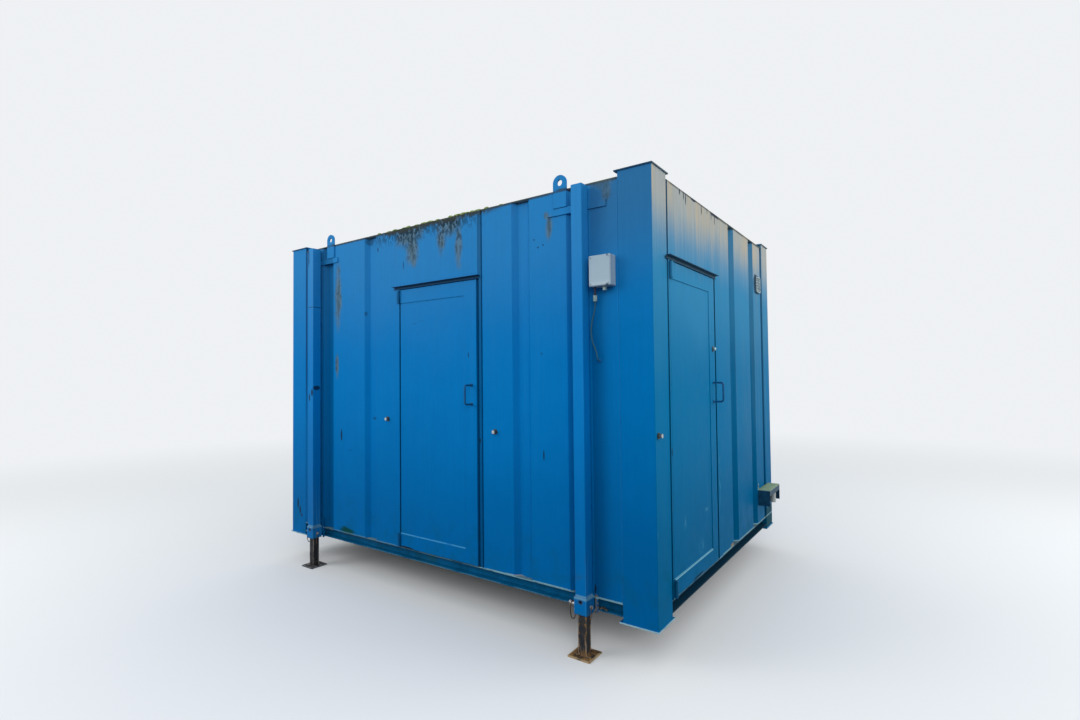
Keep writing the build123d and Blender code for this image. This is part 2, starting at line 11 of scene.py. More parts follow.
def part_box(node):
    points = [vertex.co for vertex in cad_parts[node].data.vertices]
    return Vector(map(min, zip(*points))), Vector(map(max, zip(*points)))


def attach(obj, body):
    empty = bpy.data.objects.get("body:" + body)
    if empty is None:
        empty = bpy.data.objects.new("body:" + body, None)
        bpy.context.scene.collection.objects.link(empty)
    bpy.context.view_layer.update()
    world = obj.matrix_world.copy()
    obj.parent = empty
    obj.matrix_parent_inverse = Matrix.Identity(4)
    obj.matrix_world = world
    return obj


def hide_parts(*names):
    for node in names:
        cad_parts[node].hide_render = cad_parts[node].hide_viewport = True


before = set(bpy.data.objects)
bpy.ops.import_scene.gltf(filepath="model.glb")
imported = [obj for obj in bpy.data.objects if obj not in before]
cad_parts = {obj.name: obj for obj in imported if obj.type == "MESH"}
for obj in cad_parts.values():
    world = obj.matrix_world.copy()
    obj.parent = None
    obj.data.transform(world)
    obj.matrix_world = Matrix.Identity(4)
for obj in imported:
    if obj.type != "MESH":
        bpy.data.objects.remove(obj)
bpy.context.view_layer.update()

bl_info = {
    "name": "Site Cabin Finish",
    "version": (1, 0, 0),
    "blender": (4, 5, 0),
    "location": "3D View > Sidebar > Site Cabin",
    "description": "Paint, wear and small fittings for a pressed steel site cabin on jack legs",
    "category": "Object",
}

# The outer planes of the cabin, read from its corner posts, and the ends of its wall sheets
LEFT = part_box("corner_post_front_left")[0].x
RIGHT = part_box("corner_post_front_right")[1].x
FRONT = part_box("corner_post_front_left")[0].y
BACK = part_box("corner_post_back_left")[1].y
WALL_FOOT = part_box("front_wall_left")[0].z
WALL_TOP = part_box("front_wall_left")[1].z
MIDDLE_X = (LEFT + RIGHT) / 2
CORNERS = ("front_left", "front_right", "back_right", "back_left")

# Sizes of solids that the paint and the small pieces follow, in metres
LINING_DEPTH = 0.0595
POST_LENGTH, POST_DEPTH = 0.220, 0.215
JACK_X, JACK_Y = 1.402, 1.429
STRAP_LEFT, STRAP_RIGHT = 1.399, 1.425
ROOF_EDGE_FOOT, ROOF_EDGE_TOP = 2.847, 2.868
HOOD_TAB, TAB_THICKNESS = 0.050, 0.004
STOP_GAP = 0.005
PIN_DROP = 0.058


# Meshes from whole arrays

def grid_faces(count, rows, columns, closed_rows, closed_columns):
    """The quads (i, j), (i+1, j), (i+1, j+1), (i, j+1) of each grid, wrapped round where it is closed."""
    last_row = rows if closed_rows else rows - 1
    last_column = columns if closed_columns else columns - 1
    i, j = np.meshgrid(np.arange(last_row), np.arange(last_column), indexing="ij")
    i, j = i.ravel(), j.ravel()
    next_i, next_j = (i + 1) % rows, (j + 1) % columns
    quads = np.stack([i * columns + j, next_i * columns + j,
                      next_i * columns + next_j, i * columns + next_j], axis=1)
    starts = np.arange(count)[:, None, None] * rows * columns
    return (quads[None] + starts).reshape(-1, 4)


def surface(name, points, closed_rows=False, closed_columns=False, smooth=True):
    """A mesh object from grids of points, an array of shape (pieces, rows, columns, 3)."""
    points = np.asarray(points, float)
    if points.ndim == 3:
        points = points[None]
    count, rows, columns, _ = points.shape
    mesh = bpy.data.meshes.new(name)
    mesh.from_pydata(points.reshape(-1, 3), [], grid_faces(count, rows, columns, closed_rows, closed_columns))
    work = bmesh.new()
    work.from_mesh(mesh)
    bmesh.ops.remove_doubles(work, verts=work.verts, dist=1e-6)
    bmesh.ops.dissolve_degenerate(work, edges=work.edges, dist=1e-7)
    bmesh.ops.recalc_face_normals(work, faces=work.faces)
    work.to_mesh(mesh)
    work.free()
    if smooth:
        mesh.shade_smooth()
    else:
        mesh.shade_flat()
    piece = bpy.data.objects.new(name, mesh)
    bpy.context.scene.collection.objects.link(piece)
    return piece


def unit(vectors):
    """Each vector divided by its length."""
    return vectors / np.linalg.norm(vectors, axis=-1, keepdims=True)


def carried(path, profile, side, scale=None, closed=False):
    """A profile carried along a path: P(s, t) = C(s) + k(s) (a(t) A(s) + b(t) B(s)).

    A is the side direction made square to the path's tangent T, and B is T x A.
    """
    path = np.asarray(path, float)
    if closed:
        tangent = np.roll(path, -1, axis=0) - np.roll(path, 1, axis=0)
    else:
        tangent = np.gradient(path, axis=0)
    tangent = unit(tangent)
    side = np.broadcast_to(np.asarray(side, float), path.shape)
    across = unit(side - (side * tangent).sum(1, keepdims=True) * tangent)
    up = np.cross(tangent, across)
    scale = np.ones(len(path)) if scale is None else scale
    return (path[:, None] + scale[:, None, None]
            * (profile[None, :, :1] * across[:, None] + profile[None, :, 1:] * up[:, None]))


def circle(radius, sides):
    """Points (r cos t, r sin t) for t evenly round."""
    t = np.linspace(0, 2 * np.pi, sides, endpoint=False)
    return np.stack([radius * np.cos(t), radius * np.sin(t)], axis=1)


def tapered(count):
    """A scale of 1 along a run, and 0 at both ends, which closes them."""
    scale = np.ones(count)
    scale[0] = scale[-1] = 0.0
    return scale


def turned(profile, sides, at, out):
    """A surface of revolution: P(s, t) = C + z(s) W + r(s) (cos t U + sin t V), about the direction W."""
    out = np.asarray(out, float)
    first = unit(np.cross(out, (0.0, 0.0, 1.0)))
    second = np.cross(out, first)
    t = np.linspace(0, 2 * np.pi, sides, endpoint=False)
    ring = np.cos(t)[:, None] * first + np.sin(t)[:, None] * second
    return np.asarray(at, float) + profile[:, None, :1] * ring[None] + profile[:, None, 1:] * out


def along(points, step):
    """Points a step apart along straight runs: P(s), with s the distance from the first point."""
    points = np.asarray(points, float)
    far = np.concatenate(([0.0], np.cumsum(np.linalg.norm(np.diff(points, axis=0), axis=1))))
    s = np.linspace(0.0, far[-1], max(int(round(far[-1] / step)), 2) + 1)
    return np.stack([np.interp(s, far, points[:, axis]) for axis in range(3)], axis=1), s


def bead(name, points, radius, side, ripple, step=0.004, sides=8, closed=False):
    """A round bead along runs: its radius is r (1 + q |sin(pi s / 7 mm)|), closed to a point at its ends."""
    path, s = along(points, step)
    if closed:
        path, s = path[:-1], s[:-1]
    scale = 1 + ripple * np.abs(np.sin(np.pi * s / 0.007))
    if not closed:
        scale = scale * tapered(len(s))
    return surface(name, carried(path, circle(radius, sides), side, scale, closed),
                   closed_rows=closed, closed_columns=True)


def lumps(name, centres, sizes, seed, rows=12, columns=20):
    """Rough lumps: P(s, t) = C + (a, b, c) (sin s cos t, sin s sin t, cos s) (1 + w(s, t)).

    The wave w is a sum of sines that dies away at both poles.
    """
    random = np.random.default_rng(seed)
    s = np.linspace(0.0, np.pi, rows)[None, :, None]
    t = np.linspace(0.0, 2 * np.pi, columns, endpoint=False)[None, None, :]
    count = len(centres)
    wave = np.zeros((count, rows, columns))
    for order in (2, 3, 5):
        phase = random.uniform(0, 2 * np.pi, (count, 1, 1))
        other = random.uniform(0, 2 * np.pi, (count, 1, 1))
        wave = wave + 0.26 / order * np.sin(order * t + phase) * np.sin(order * s + other) * np.sin(s)
    ball = np.stack(np.broadcast_arrays(np.sin(s) * np.cos(t), np.sin(s) * np.sin(t), np.cos(s)), axis=-1)
    points = centres[:, None, None] + sizes[:, None, None] * ball * (1 + wave[..., None])
    return surface(name, points, closed_columns=True)


def finish_piece(piece, body, material):
    """Gives a new piece its material and the body it moves with."""
    piece.data.materials.clear()
    piece.data.materials.append(material)
    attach(piece, body)


# Shader maths written as arithmetic

class Term:
    """A value or colour socket. Arithmetic on it adds Math nodes."""

    def __init__(self, coat, socket):
        self.coat = coat
        self.socket = socket

    def math(self, operation, *values):
        return self.coat.add("ShaderNodeMath", {"operation": operation}, dict(enumerate(values)))

    def __add__(self, other):
        return self.math("ADD", self, other)

    def __sub__(self, other):
        return self.math("SUBTRACT", self, other)

    def __rsub__(self, other):
        return self.math("SUBTRACT", other, self)

    def __mul__(self, other):
        return self.math("MULTIPLY", self, other)

    def __abs__(self):
        return self.math("ABSOLUTE", self)

    __radd__ = __add__
    __rmul__ = __mul__

    def least(self, other):
        return self.math("MINIMUM", self, other)

    def most(self, other):
        return self.math("MAXIMUM", self, other)

    def ramp(self, low, high):
        """0 below low and 1 above high, smooth between them. High may be the smaller."""
        if low > high:
            return 1 - self.ramp(high, low)
        return self.coat.add("ShaderNodeMapRange", {"interpolation_type": "SMOOTHSTEP"},
                             {0: self, 1: low, 2: high})


class Coat:
    """The nodes of one material, whose tone is built up in layers."""

    def __init__(self, name, roughness=0.5, specular=0.5):
        self.material = bpy.data.materials.new(name)
        self.material.use_nodes = True
        self.tree = self.material.node_tree
        self.shader = self.tree.nodes["Principled BSDF"]
        self.shader.inputs["Roughness"].default_value = roughness
        self.shader.inputs["Specular IOR Level"].default_value = specular
        coordinates = self.tree.nodes.new("ShaderNodeTexCoord")
        self.place = Term(self, coordinates.outputs["Object"])
        self.x, self.y, self.z = self.parts(self.place)
        self.facing = self.parts(Term(self, coordinates.outputs["Normal"]))
        self.tone = None

    def add(self, kind, settings=None, inputs=None, output=0):
        """One node of any kind: its settings first, then the values or links of its sockets."""
        node = self.tree.nodes.new(kind)
        for key, value in (settings or {}).items():
            setattr(node, key, value)
        for key, value in (inputs or {}).items():
            socket = node.inputs[key]
            if isinstance(value, Term):
                self.tree.links.new(value.socket, socket)
            elif socket.type == "RGBA":
                socket.default_value = (*value, 1.0)
            else:
                socket.default_value = value
        return Term(self, node.outputs[output])

    def parts(self, vector):
        """The three numbers of a vector."""
        node = self.tree.nodes.new("ShaderNodeSeparateXYZ")
        self.tree.links.new(vector.socket, node.inputs[0])
        return tuple(Term(self, socket) for socket in node.outputs)

    @cached_property
    def past_end(self):
        """How far a place lies outside the planes of the end walls. It is below 0 inside them."""
        return abs(self.x - MIDDLE_X) - (RIGHT - MIDDLE_X)

    @cached_property
    def past_side(self):
        """How far a place lies outside the planes of the long walls."""
        return abs(self.y) - BACK

    @cached_property
    def at_right(self):
        """1 on the right end wall and its post faces."""
        return self.x.ramp(RIGHT - 0.05, RIGHT - 0.04)

    def noise(self, scale, detail=2.0, roughness=0.5, shift=(0, 0, 0), distortion=0.0):
        """Noise from 0 to 1 on the object's own places, with a count of cells to the metre each way."""
        if not isinstance(scale, tuple):
            scale = (scale,) * 3
        vector = self.add("ShaderNodeMapping", None,
                          {"Vector": self.place, "Scale": scale, "Location": shift})
        return self.add("ShaderNodeTexNoise", None, {"Vector": vector, "Scale": 1.0, "Detail": detail,
                                                     "Roughness": roughness, "Distortion": distortion})

    def spot(self, centre, reach, place=None):
        """The distance from a centre counted in its reaches: 1 on the edge of the ellipsoid."""
        scale = tuple(1 / size for size in reach)
        shift = tuple(-c * s for c, s in zip(centre, scale))
        scaled = self.add("ShaderNodeMapping", None,
                          {"Vector": place or self.place, "Scale": scale, "Location": shift})
        return self.add("ShaderNodeVectorMath", {"operation": "LENGTH"}, {0: scaled}, output=1)

    def between(self, value, low, high, soft=0.001):
        """1 between two bounds and 0 outside them, with edges of a soft width."""
        return value.ramp(low - soft, low + soft) * value.ramp(high + soft, high - soft)

    def blend(self, share, first, second):
        """The first colour where share is 0, the second where it is 1."""
        return self.add("ShaderNodeMix", {"data_type": "RGBA", "clamp_factor": True},
                        {0: share, 6: first, 7: second}, output=2)

    def shade(self, colour, amount):
        """A colour multiplied by a number."""
        return self.add("ShaderNodeVectorMath", {"operation": "SCALE"}, {0: colour, 3: amount})

    def lay(self, share, colour):
        """Lays a colour over the tone, as thick as the share says."""
        self.tone = self.blend(share, self.tone, colour)

    def dim(self, amount):
        """Multiplies the tone by a number."""
        self.tone = self.shade(self.tone, amount)

    def use(self, socket, value):
        """Feeds a socket of the shader."""
        self.tree.links.new(value.socket, self.shader.inputs[socket])

    def done(self, *heights, edge=0.0, roughness=None, metallic=None):
        """Feeds the shader and gives the material. The bump comes from pairs of a height and its depth in
        metres, over edges that are rounded by edge metres."""
        self.use("Base Color", self.tone)
        if roughness:
            self.use("Roughness", roughness)
        if metallic:
            self.use("Metallic", metallic)
        normal = self.add("ShaderNodeBevel", {"samples": 4}, {"Radius": edge}) if edge else None
        for height, depth in heights:
            inputs = {"Height": height, "Distance": depth, "Strength": 1.0}
            if normal:
                inputs["Normal"] = normal
            normal = self.add("ShaderNodeBump", None, inputs)
        self.use("Normal", normal)
        return self.material


# Settings that a user would change

def paint_colour(name, description, value):
    """A colour setting in linear values."""
    return bpy.props.FloatVectorProperty(name=name, description=description, default=value, subtype="COLOR",
                                         size=3, min=0, max=1)


def length(name, description, value, least=0.001):
    """A length setting in metres."""
    return bpy.props.FloatProperty(name=name, description=description, default=value, min=least,
                                   unit="LENGTH")


class CabinPaints(bpy.types.PropertyGroup):
    """Colours and gloss of the finishes."""
    azure: paint_colour("Azure", "The gloss paint at mid height", (0.0, 0.176, 0.495))
    azure_low: paint_colour("Low azure", "The paint near the foot of the walls", (0.0, 0.124, 0.370))
    # Paler towards the roof: partly faded paint and partly a painted reflection of the sky
    azure_high: paint_colour("Faded azure", "The paint that the sun has faded near the roof",
                             (0.018, 0.206, 0.505))
    end_azure: paint_colour("End azure", "The duller paint of the end walls at mid height",
                            (0.002, 0.170, 0.375))
    end_low: paint_colour("Low end azure", "The end walls near their foot", (0.0, 0.112, 0.268))
    end_high: paint_colour("High end azure", "The end walls at door head height", (0.030, 0.238, 0.455))
    # The next three colours paint the pale top of the end walls, partly chalking and partly a painted
    # reflection of the sky
    bloom_and_sky_sheen: paint_colour("Bloom", "The blue-grey bloom under the chalk", (0.150, 0.300, 0.440))
    chalk_and_sky_sheen: paint_colour("Chalk", "The pale chalking at the top of the end walls", (0.400, 0.420, 0.400))
    beige: paint_colour("Beige", "The warm streaks in the chalk", (0.520, 0.430, 0.290))
    dust: paint_colour("Dust", "Greyish runs on the end walls", (0.090, 0.190, 0.260))
    primer: paint_colour("Primer", "Grey film where paint has peeled", (0.112, 0.176, 0.205))
    worn: paint_colour("Worn edge", "Pale cyan where paint is worn thin along edges", (0.190, 0.380, 0.460))
    rust: paint_colour("Rust", "Brown rust", (0.130, 0.060, 0.028))
    grime: paint_colour("Grime", "Dark dirt in joints and scratches", (0.008, 0.022, 0.045))
    moss: paint_colour("Moss", "Moss and algae", (0.150, 0.210, 0.050))
    lining: paint_colour("Lining", "The wall lining inside", (0.560, 0.550, 0.500))
    gloss: bpy.props.FloatProperty(name="Roughness", description="Roughness of sound paint", default=0.38,
                                   min=0, max=1, subtype="FACTOR")


class CableFacts(bpy.types.PropertyGroup):
    """The thin cable under the junction box."""
    diameter: length("Diameter", "Outside diameter of the sheath", 0.008, 0.002)
    length: length("Length", "Length from the gland to the wall bush", 0.384, 0.05)


class PinKeepers(bpy.types.PropertyGroup):
    """The wire loops and clips that hang on the jack pins."""
    wire: length("Wire radius", "Radius of the wire", 0.003)
    drop: length("Drop", "Height of a loop", 0.110, 0.02)
    width: length("Width", "Width of a loop", 0.036, 0.01)
    turn: bpy.props.FloatProperty(name="Turn", description="How far a loop is turned on its pin",
                                  default=math.radians(40), subtype="ANGLE")


class Fittings(bpy.types.PropertyGroup):
    """Welds, seals, screws and what grows on the cabin."""
    weld: length("Weld radius", "Radius of a weld bead", 0.004)
    seal: length("Seal height", "How far a door seal stands off its stop", 0.003)
    screw: length("Screw radius", "Head radius of the small screws", 0.005)
    seed: bpy.props.IntProperty(name="Seed", description="Seed of the moss and debris", default=7)


class CABIN_OT_stage(bpy.types.Operator):
    """Sets up the camera at the photograph's angle, soft lamps, a pale floor and the world."""
    bl_idname = "cabin.stage"
    bl_label = "Stage"

    sensor_width, lens = 36.0, 18.29
    camera_place = (3.079, -4.297, 1.681)
    camera_axes = (Vector((0.81580, 0.57820, -0.01028)), Vector((0.02423, -0.01642, 0.99957)),
                   Vector((0.57779, -0.81569, -0.02740)))
    lamps = (("front_left_softbox", (-5.2, -7.0, 4.6), (-0.4, -1.3, 1.5), 230.0, (1.0, 0.99, 0.97)),
             ("right_back_softbox", (8.2, 3.2, 4.6), (1.8, 0.2, 1.5), 260.0, (1.0, 0.99, 0.97)),
             ("camera_side_softbox", (5.6, -7.6, 5.2), (0.8, -1.0, 1.5), 190.0, (1.0, 1.0, 1.0)))
    lamp_size = 4.5
    pale = (0.86, 0.88, 0.90, 1.0)
    sky = (0.93, 0.97, 1.0, 1.0)
    sky_strength = 0.92
    floor_half = 60
    fade_start, fade_end = 3.5, 13.0

    def execute(self, context):
        scene = context.scene
        camera = bpy.data.cameras.new("camera")
        camera.sensor_width = self.sensor_width
        camera.lens = self.lens
        holder = bpy.data.objects.new("camera", camera)
        holder.matrix_world = (Matrix.Translation(self.camera_place)
                               @ Matrix(self.camera_axes).transposed().to_4x4())
        scene.collection.objects.link(holder)
        scene.camera = holder
        self.add_floor()
        self.add_lamps(scene)
        self.add_world(scene)
        scene.view_settings.view_transform = "Standard"
        return {"FINISHED"}

    def add_floor(self):
        """A level floor: P(u, v) = (R u, R v, 0). Far off it fades into the pale backdrop."""
        steps = np.linspace(-self.floor_half, self.floor_half, 5)
        x, y = np.meshgrid(steps, steps, indexing="ij")
        floor = surface("studio_floor", np.stack([x, y, np.zeros_like(x)], axis=-1), smooth=False)
        coat = Coat("studio_floor", roughness=1.0, specular=0.0)
        tree = coat.tree
        rays = tree.nodes.new("ShaderNodeLightPath")
        camera, glossy, through = (Term(coat, rays.outputs[name]) for name in (
            "Is Camera Ray", "Is Glossy Ray", "Is Transmission Ray"))
        seen = camera.most(glossy).most(through)
        coat.use("Base Color", coat.blend(seen, (0.10, 0.11, 0.12), (0.72, 0.73, 0.74)))
        glow = tree.nodes.new("ShaderNodeEmission")
        glow.inputs["Color"].default_value = self.pale
        far = coat.spot((0, 0, 0), (1, 1, 1)).ramp(self.fade_start, self.fade_end) * seen
        mix = tree.nodes.new("ShaderNodeMixShader")
        for source, socket in zip((far.socket, coat.shader.outputs[0], glow.outputs[0]), mix.inputs):
            tree.links.new(source, socket)
        tree.links.new(mix.outputs[0], tree.nodes["Material Output"].inputs["Surface"])
        floor.data.materials.append(coat.material)

    def add_lamps(self, scene):
        """Large soft lamps: one for each long face that shows, and a weak one from beside the camera."""
        for name, place, target, power, colour in self.lamps:
            lamp = bpy.data.lights.new(name, "AREA")
            lamp.shape = "SQUARE"
            lamp.size = self.lamp_size
            lamp.energy = power
            lamp.color = colour
            holder = bpy.data.objects.new(name, lamp)
            holder.location = place
            holder.rotation_mode = "QUATERNION"
            holder.rotation_quaternion = (Vector(target) - Vector(place)).to_track_quat("-Z", "Y")
            scene.collection.objects.link(holder)

    def add_world(self, scene):
        """An even sky for light, and a pale backdrop where it is seen."""
        world = bpy.data.worlds.new("studio")
        scene.world = world
        world.use_nodes = True
        tree = world.node_tree
        tree.nodes.clear()
        output = tree.nodes.new("ShaderNodeOutputWorld")
        rays = tree.nodes.new("ShaderNodeLightPath")
        sky = tree.nodes.new("ShaderNodeBackground")
        sky.inputs["Color"].default_value = self.sky
        sky.inputs["Strength"].default_value = self.sky_strength
        pale = tree.nodes.new("ShaderNodeBackground")
        pale.inputs["Color"].default_value = self.pale
        mix = tree.nodes.new("ShaderNodeMixShader")
        sources = (rays.outputs["Is Camera Ray"], sky.outputs[0], pale.outputs[0])
        for source, socket in zip(sources, mix.inputs):
            tree.links.new(source, socket)
        tree.links.new(mix.outputs[0], output.inputs[0])


class CABIN_OT_cable(bpy.types.Operator):
    """Lays the thin cable from the long gland to the bush on the wall."""
    bl_idname = "cabin.cable"
    bl_label = "Cable"

    route = ((1.444, -1.4055, 2.122), (1.444, -1.4055, 2.092), (1.437, -1.4055, 2.058),
             (1.420, -1.4065, 2.004), (1.413, -1.4075, 1.951), (1.419, -1.4075, 1.890),
             (1.433, -1.4070, 1.853), (1.445, -1.4065, 1.824), (1.452, -1.4060, 1.800),
             (1.454, -1.4055, 1.782), (1.454, -1.3996, 1.7718), (1.454, -1.3894, 1.7659),
             (1.454, -1.3775, 1.7659))

    def execute(self, context):
        facts = context.scene.cabin_cable
        route = self.route
        curve = bpy.data.curves.new("thin_cable", "CURVE")
        curve.dimensions = "3D"
        curve.bevel_depth = facts.diameter / 2
        curve.bevel_resolution = 4
        curve.resolution_u = 12
        curve.use_fill_caps = True
        spline = curve.splines.new("NURBS")
        spline.points.add(len(route) - 1)
        for point, place in zip(spline.points, route):
            point.co = (*place, 1.0)
        spline.order_u = 3
        spline.use_endpoint_u = True
        piece = bpy.data.objects.new("thin_cable", curve)
        context.scene.collection.objects.link(piece)
        finish_piece(piece, "cabin",
                     plain_plastic("cable_sheath", (0.022, 0.105, 0.155), 60.0))
        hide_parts("cable")
        return {"FINISHED"}


# The walls' own marks. First the place along the wall and the height of the centre, then the half sizes
FRONT_PEELED = ((-0.235, 2.83, 0.215, 0.190), (-0.205, 2.68, 0.100, 0.175), (-0.190, 2.61, 0.045, 0.110),
                (0.200, 2.83, 0.165, 0.180), (0.290, 2.64, 0.050, 0.220), (0.110, 2.70, 0.060, 0.120),
                (-1.178, 2.395, 0.068, 0.340), (1.086, 2.640, 0.036, 0.110), (1.070, 2.715, 0.030, 0.040),
                (1.482, 2.860, 0.105, 0.058), (1.512, 2.795, 0.040, 0.085), (-1.196, 1.775, 0.034, 0.130))
FRONT_SCRATCHES = ((-0.311, 2.564, 0.004, 0.036), (-0.632, 2.734, 0.007, 0.022),
                   (-1.132, 1.174, 0.012, 0.058),
                   (1.030, 1.160, 0.006, 0.040), (0.968, 2.575, 0.006, 0.006), (1.000, 2.520, 0.007, 0.007),
                   (1.040, 2.531, 0.006, 0.006), (0.381, 1.831, 0.004, 0.022), (0.487, 1.223, 0.008, 0.020),
                   (-0.283, 0.345, 0.080, 0.009), (1.406, 0.388, 0.008, 0.030), (-1.806, 0.500, 0.014, 0.060),
                   (-1.772, 0.440, 0.014, 0.040), (-1.744, 0.395, 0.012, 0.020), (1.640, 0.500, 0.014, 0.006),
                   (1.690, 2.330, 0.008, 0.006))
FRONT_DASHES = ((-0.186, 2.092, 0.030, 0.003), (-0.120, 2.108, 0.050, 0.002), (-0.765, 2.825, 0.045, 0.040),
                (-0.800, 2.215, 0.012, 0.022), (-0.716, 1.333, 0.034, 0.015), (-1.000, 1.050, 0.012, 0.012),
                (1.020, 1.820, 0.010, 0.010))
FRONT_GROWTH = ((-1.05, 0.356, 0.125, 0.040),)
FRONT_BARE = ((0.760, 0.336, 0.090, 0.010),)
END_SCUFFS = ((-0.448, 1.577, 0.020, 0.050), (-0.935, 0.735, 0.034, 0.075), (-0.532, 0.746, 0.060, 0.018),
              (-0.635, 0.520, 0.075, 0.075), (-1.357, 0.773, 0.014, 0.030), (-0.240, 0.900, 0.030, 0.300))
END_SCRATCHES = ((-1.140, 1.209, 0.012, 0.034), (-0.725, 0.352, 0.120, 0.012), (-0.950, 2.845, 0.012, 0.030),
                 (-0.880, 2.835, 0.009, 0.040), (-0.845, 2.825, 0.010, 0.055), (-0.700, 2.850, 0.060, 0.014),
                 (-0.540, 2.825, 0.010, 0.045), (-0.420, 2.845, 0.008, 0.035), (-0.240, 2.850, 0.130, 0.020),
                 (-0.255, 2.815, 0.010, 0.050), (-0.330, 2.825, 0.007, 0.040))
END_RUST = ((0.057, 0.349, 0.060, 0.020),)
# A painted highlight on the lower rail of each door's sunk panel: its two ends and its height
FRONT_LEDGE = (-0.351, 0.341, 0.4465)
END_LEDGE = (-1.1245, -0.4205, 0.4465)


# Finishes

def darker(colour, share):
    """A colour multiplied by a share."""
    return tuple(part * share for part in colour)


def lay_dust(coat, slow):
    """Dust on faces that look up."""
    coat.lay(coat.facing[2].ramp(0.2, 0.9) * slow.ramp(0.30, 0.65) * 0.45, (0.30, 0.33, 0.31))


def plain_plastic(name, colour, grain, edge=0.003):
    """Moulded plastic: a fine grain, a little dust and slow changes of tone, rounded at its edges."""
    coat = Coat(name, specular=0.25)
    slow = coat.noise(grain / 4, 4.0)
    coat.tone = coat.blend(slow.ramp(0.35, 0.75) * 0.30, colour, darker(colour, 0.78))
    lay_dust(coat, slow)
    return coat.done((coat.noise(grain * 20, 2.0), 0.0002), edge=edge, roughness=0.42 + slow * 0.3)


def box_plastic(name):
    """The junction box: pale blue-grey, with a seam round its lid, dark notches at the lid's right corners,
    a lighter left edge and a lighter band along its foot."""
    low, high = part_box("junction_box")
    coat = Coat(name, specular=0.25)
    x, y, z = coat.x, coat.y, coat.z
    slow = coat.noise(8.0, 4.0)
    coat.tone = coat.blend(slow.ramp(0.35, 0.75) * 0.5, (0.345, 0.455, 0.540), (0.290, 0.395, 0.475))
    front = y.ramp(low.y + 0.003, low.y + 0.001)
    coat.lay(front * z.ramp(low.z + 0.040, low.z + 0.016) * 0.6, (0.430, 0.540, 0.600))
    coat.lay(x.ramp(low.x + 0.012, low.x + 0.004) * 0.7, (0.470, 0.570, 0.640))
    coat.lay(coat.between(y, low.y + 0.020, low.y + 0.0225, 0.0005) * 0.55, (0.060, 0.100, 0.140))
    top_notch = coat.spot((high.x - 0.020, low.y, high.z - 0.004), (0.009, 0.012, 0.008)).ramp(1.1, 0.7)
    foot_notch = coat.spot((high.x - 0.022, low.y, low.z + 0.004), (0.010, 0.012, 0.009)).ramp(1.1, 0.7)
    coat.lay(top_notch.most(foot_notch) * 0.85, (0.030, 0.070, 0.110))
    lay_dust(coat, slow)
    return coat.done((coat.noise(500.0, 2.0), 0.0002), edge=0.004, roughness=0.42 + slow * 0.3)


def vent_plastic(name):
    """The vent: a weathered grey face, with painted shade between its blades and along its left and lower
    edges.
    """
    low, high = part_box("vent")
    coat = Coat(name, roughness=0.6, specular=0.2)
    slow = coat.noise(14.0, 4.0, 0.6)
    coat.tone = coat.blend(slow.ramp(0.35, 0.70), (0.450, 0.545, 0.570), (0.350, 0.440, 0.470))
    # Painted shade in the recesses between the blades
    coat.lay(coat.x.ramp(high.x - 0.0055, high.x - 0.0085) * 0.45, (0.100, 0.190, 0.260))
    # Painted shade along the left and lower edges
    side = coat.y.ramp(low.y + 0.0020, low.y + 0.0005).most(coat.z.ramp(low.z + 0.0020, low.z + 0.0005))
    coat.lay(side * 0.8, (0.020, 0.050, 0.080))
    return coat.done((coat.noise(500.0, 2.0), 0.0002), edge=0.001)


def gland_plastic(name, paints):
    """The box's glands: dusty grey-green nuts on a stem painted dark as the shade under the box. The bush on
    the wall is painted over.
    """
    coat = Coat(name, specular=0.25)
    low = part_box("junction_box")[0]
    coat.tone = coat.blend(coat.noise(80.0, 3.0).ramp(0.4, 0.7), (0.300, 0.420, 0.420), (0.150, 0.240, 0.230))
    # The stem painted dark: a painted shade under the box
    stem = coat.between(coat.z, low.z - 0.050, low.z) * coat.x.ramp(low.x + 0.045, low.x + 0.040)
    coat.lay(stem, (0.012, 0.020, 0.045))
    bush_top = 1.80
    coat.lay(coat.z.ramp(bush_top, bush_top - 0.01), paints.azure_low)
    return coat.done((coat.noise(300.0, 2.0), 0.0002), edge=0.001)


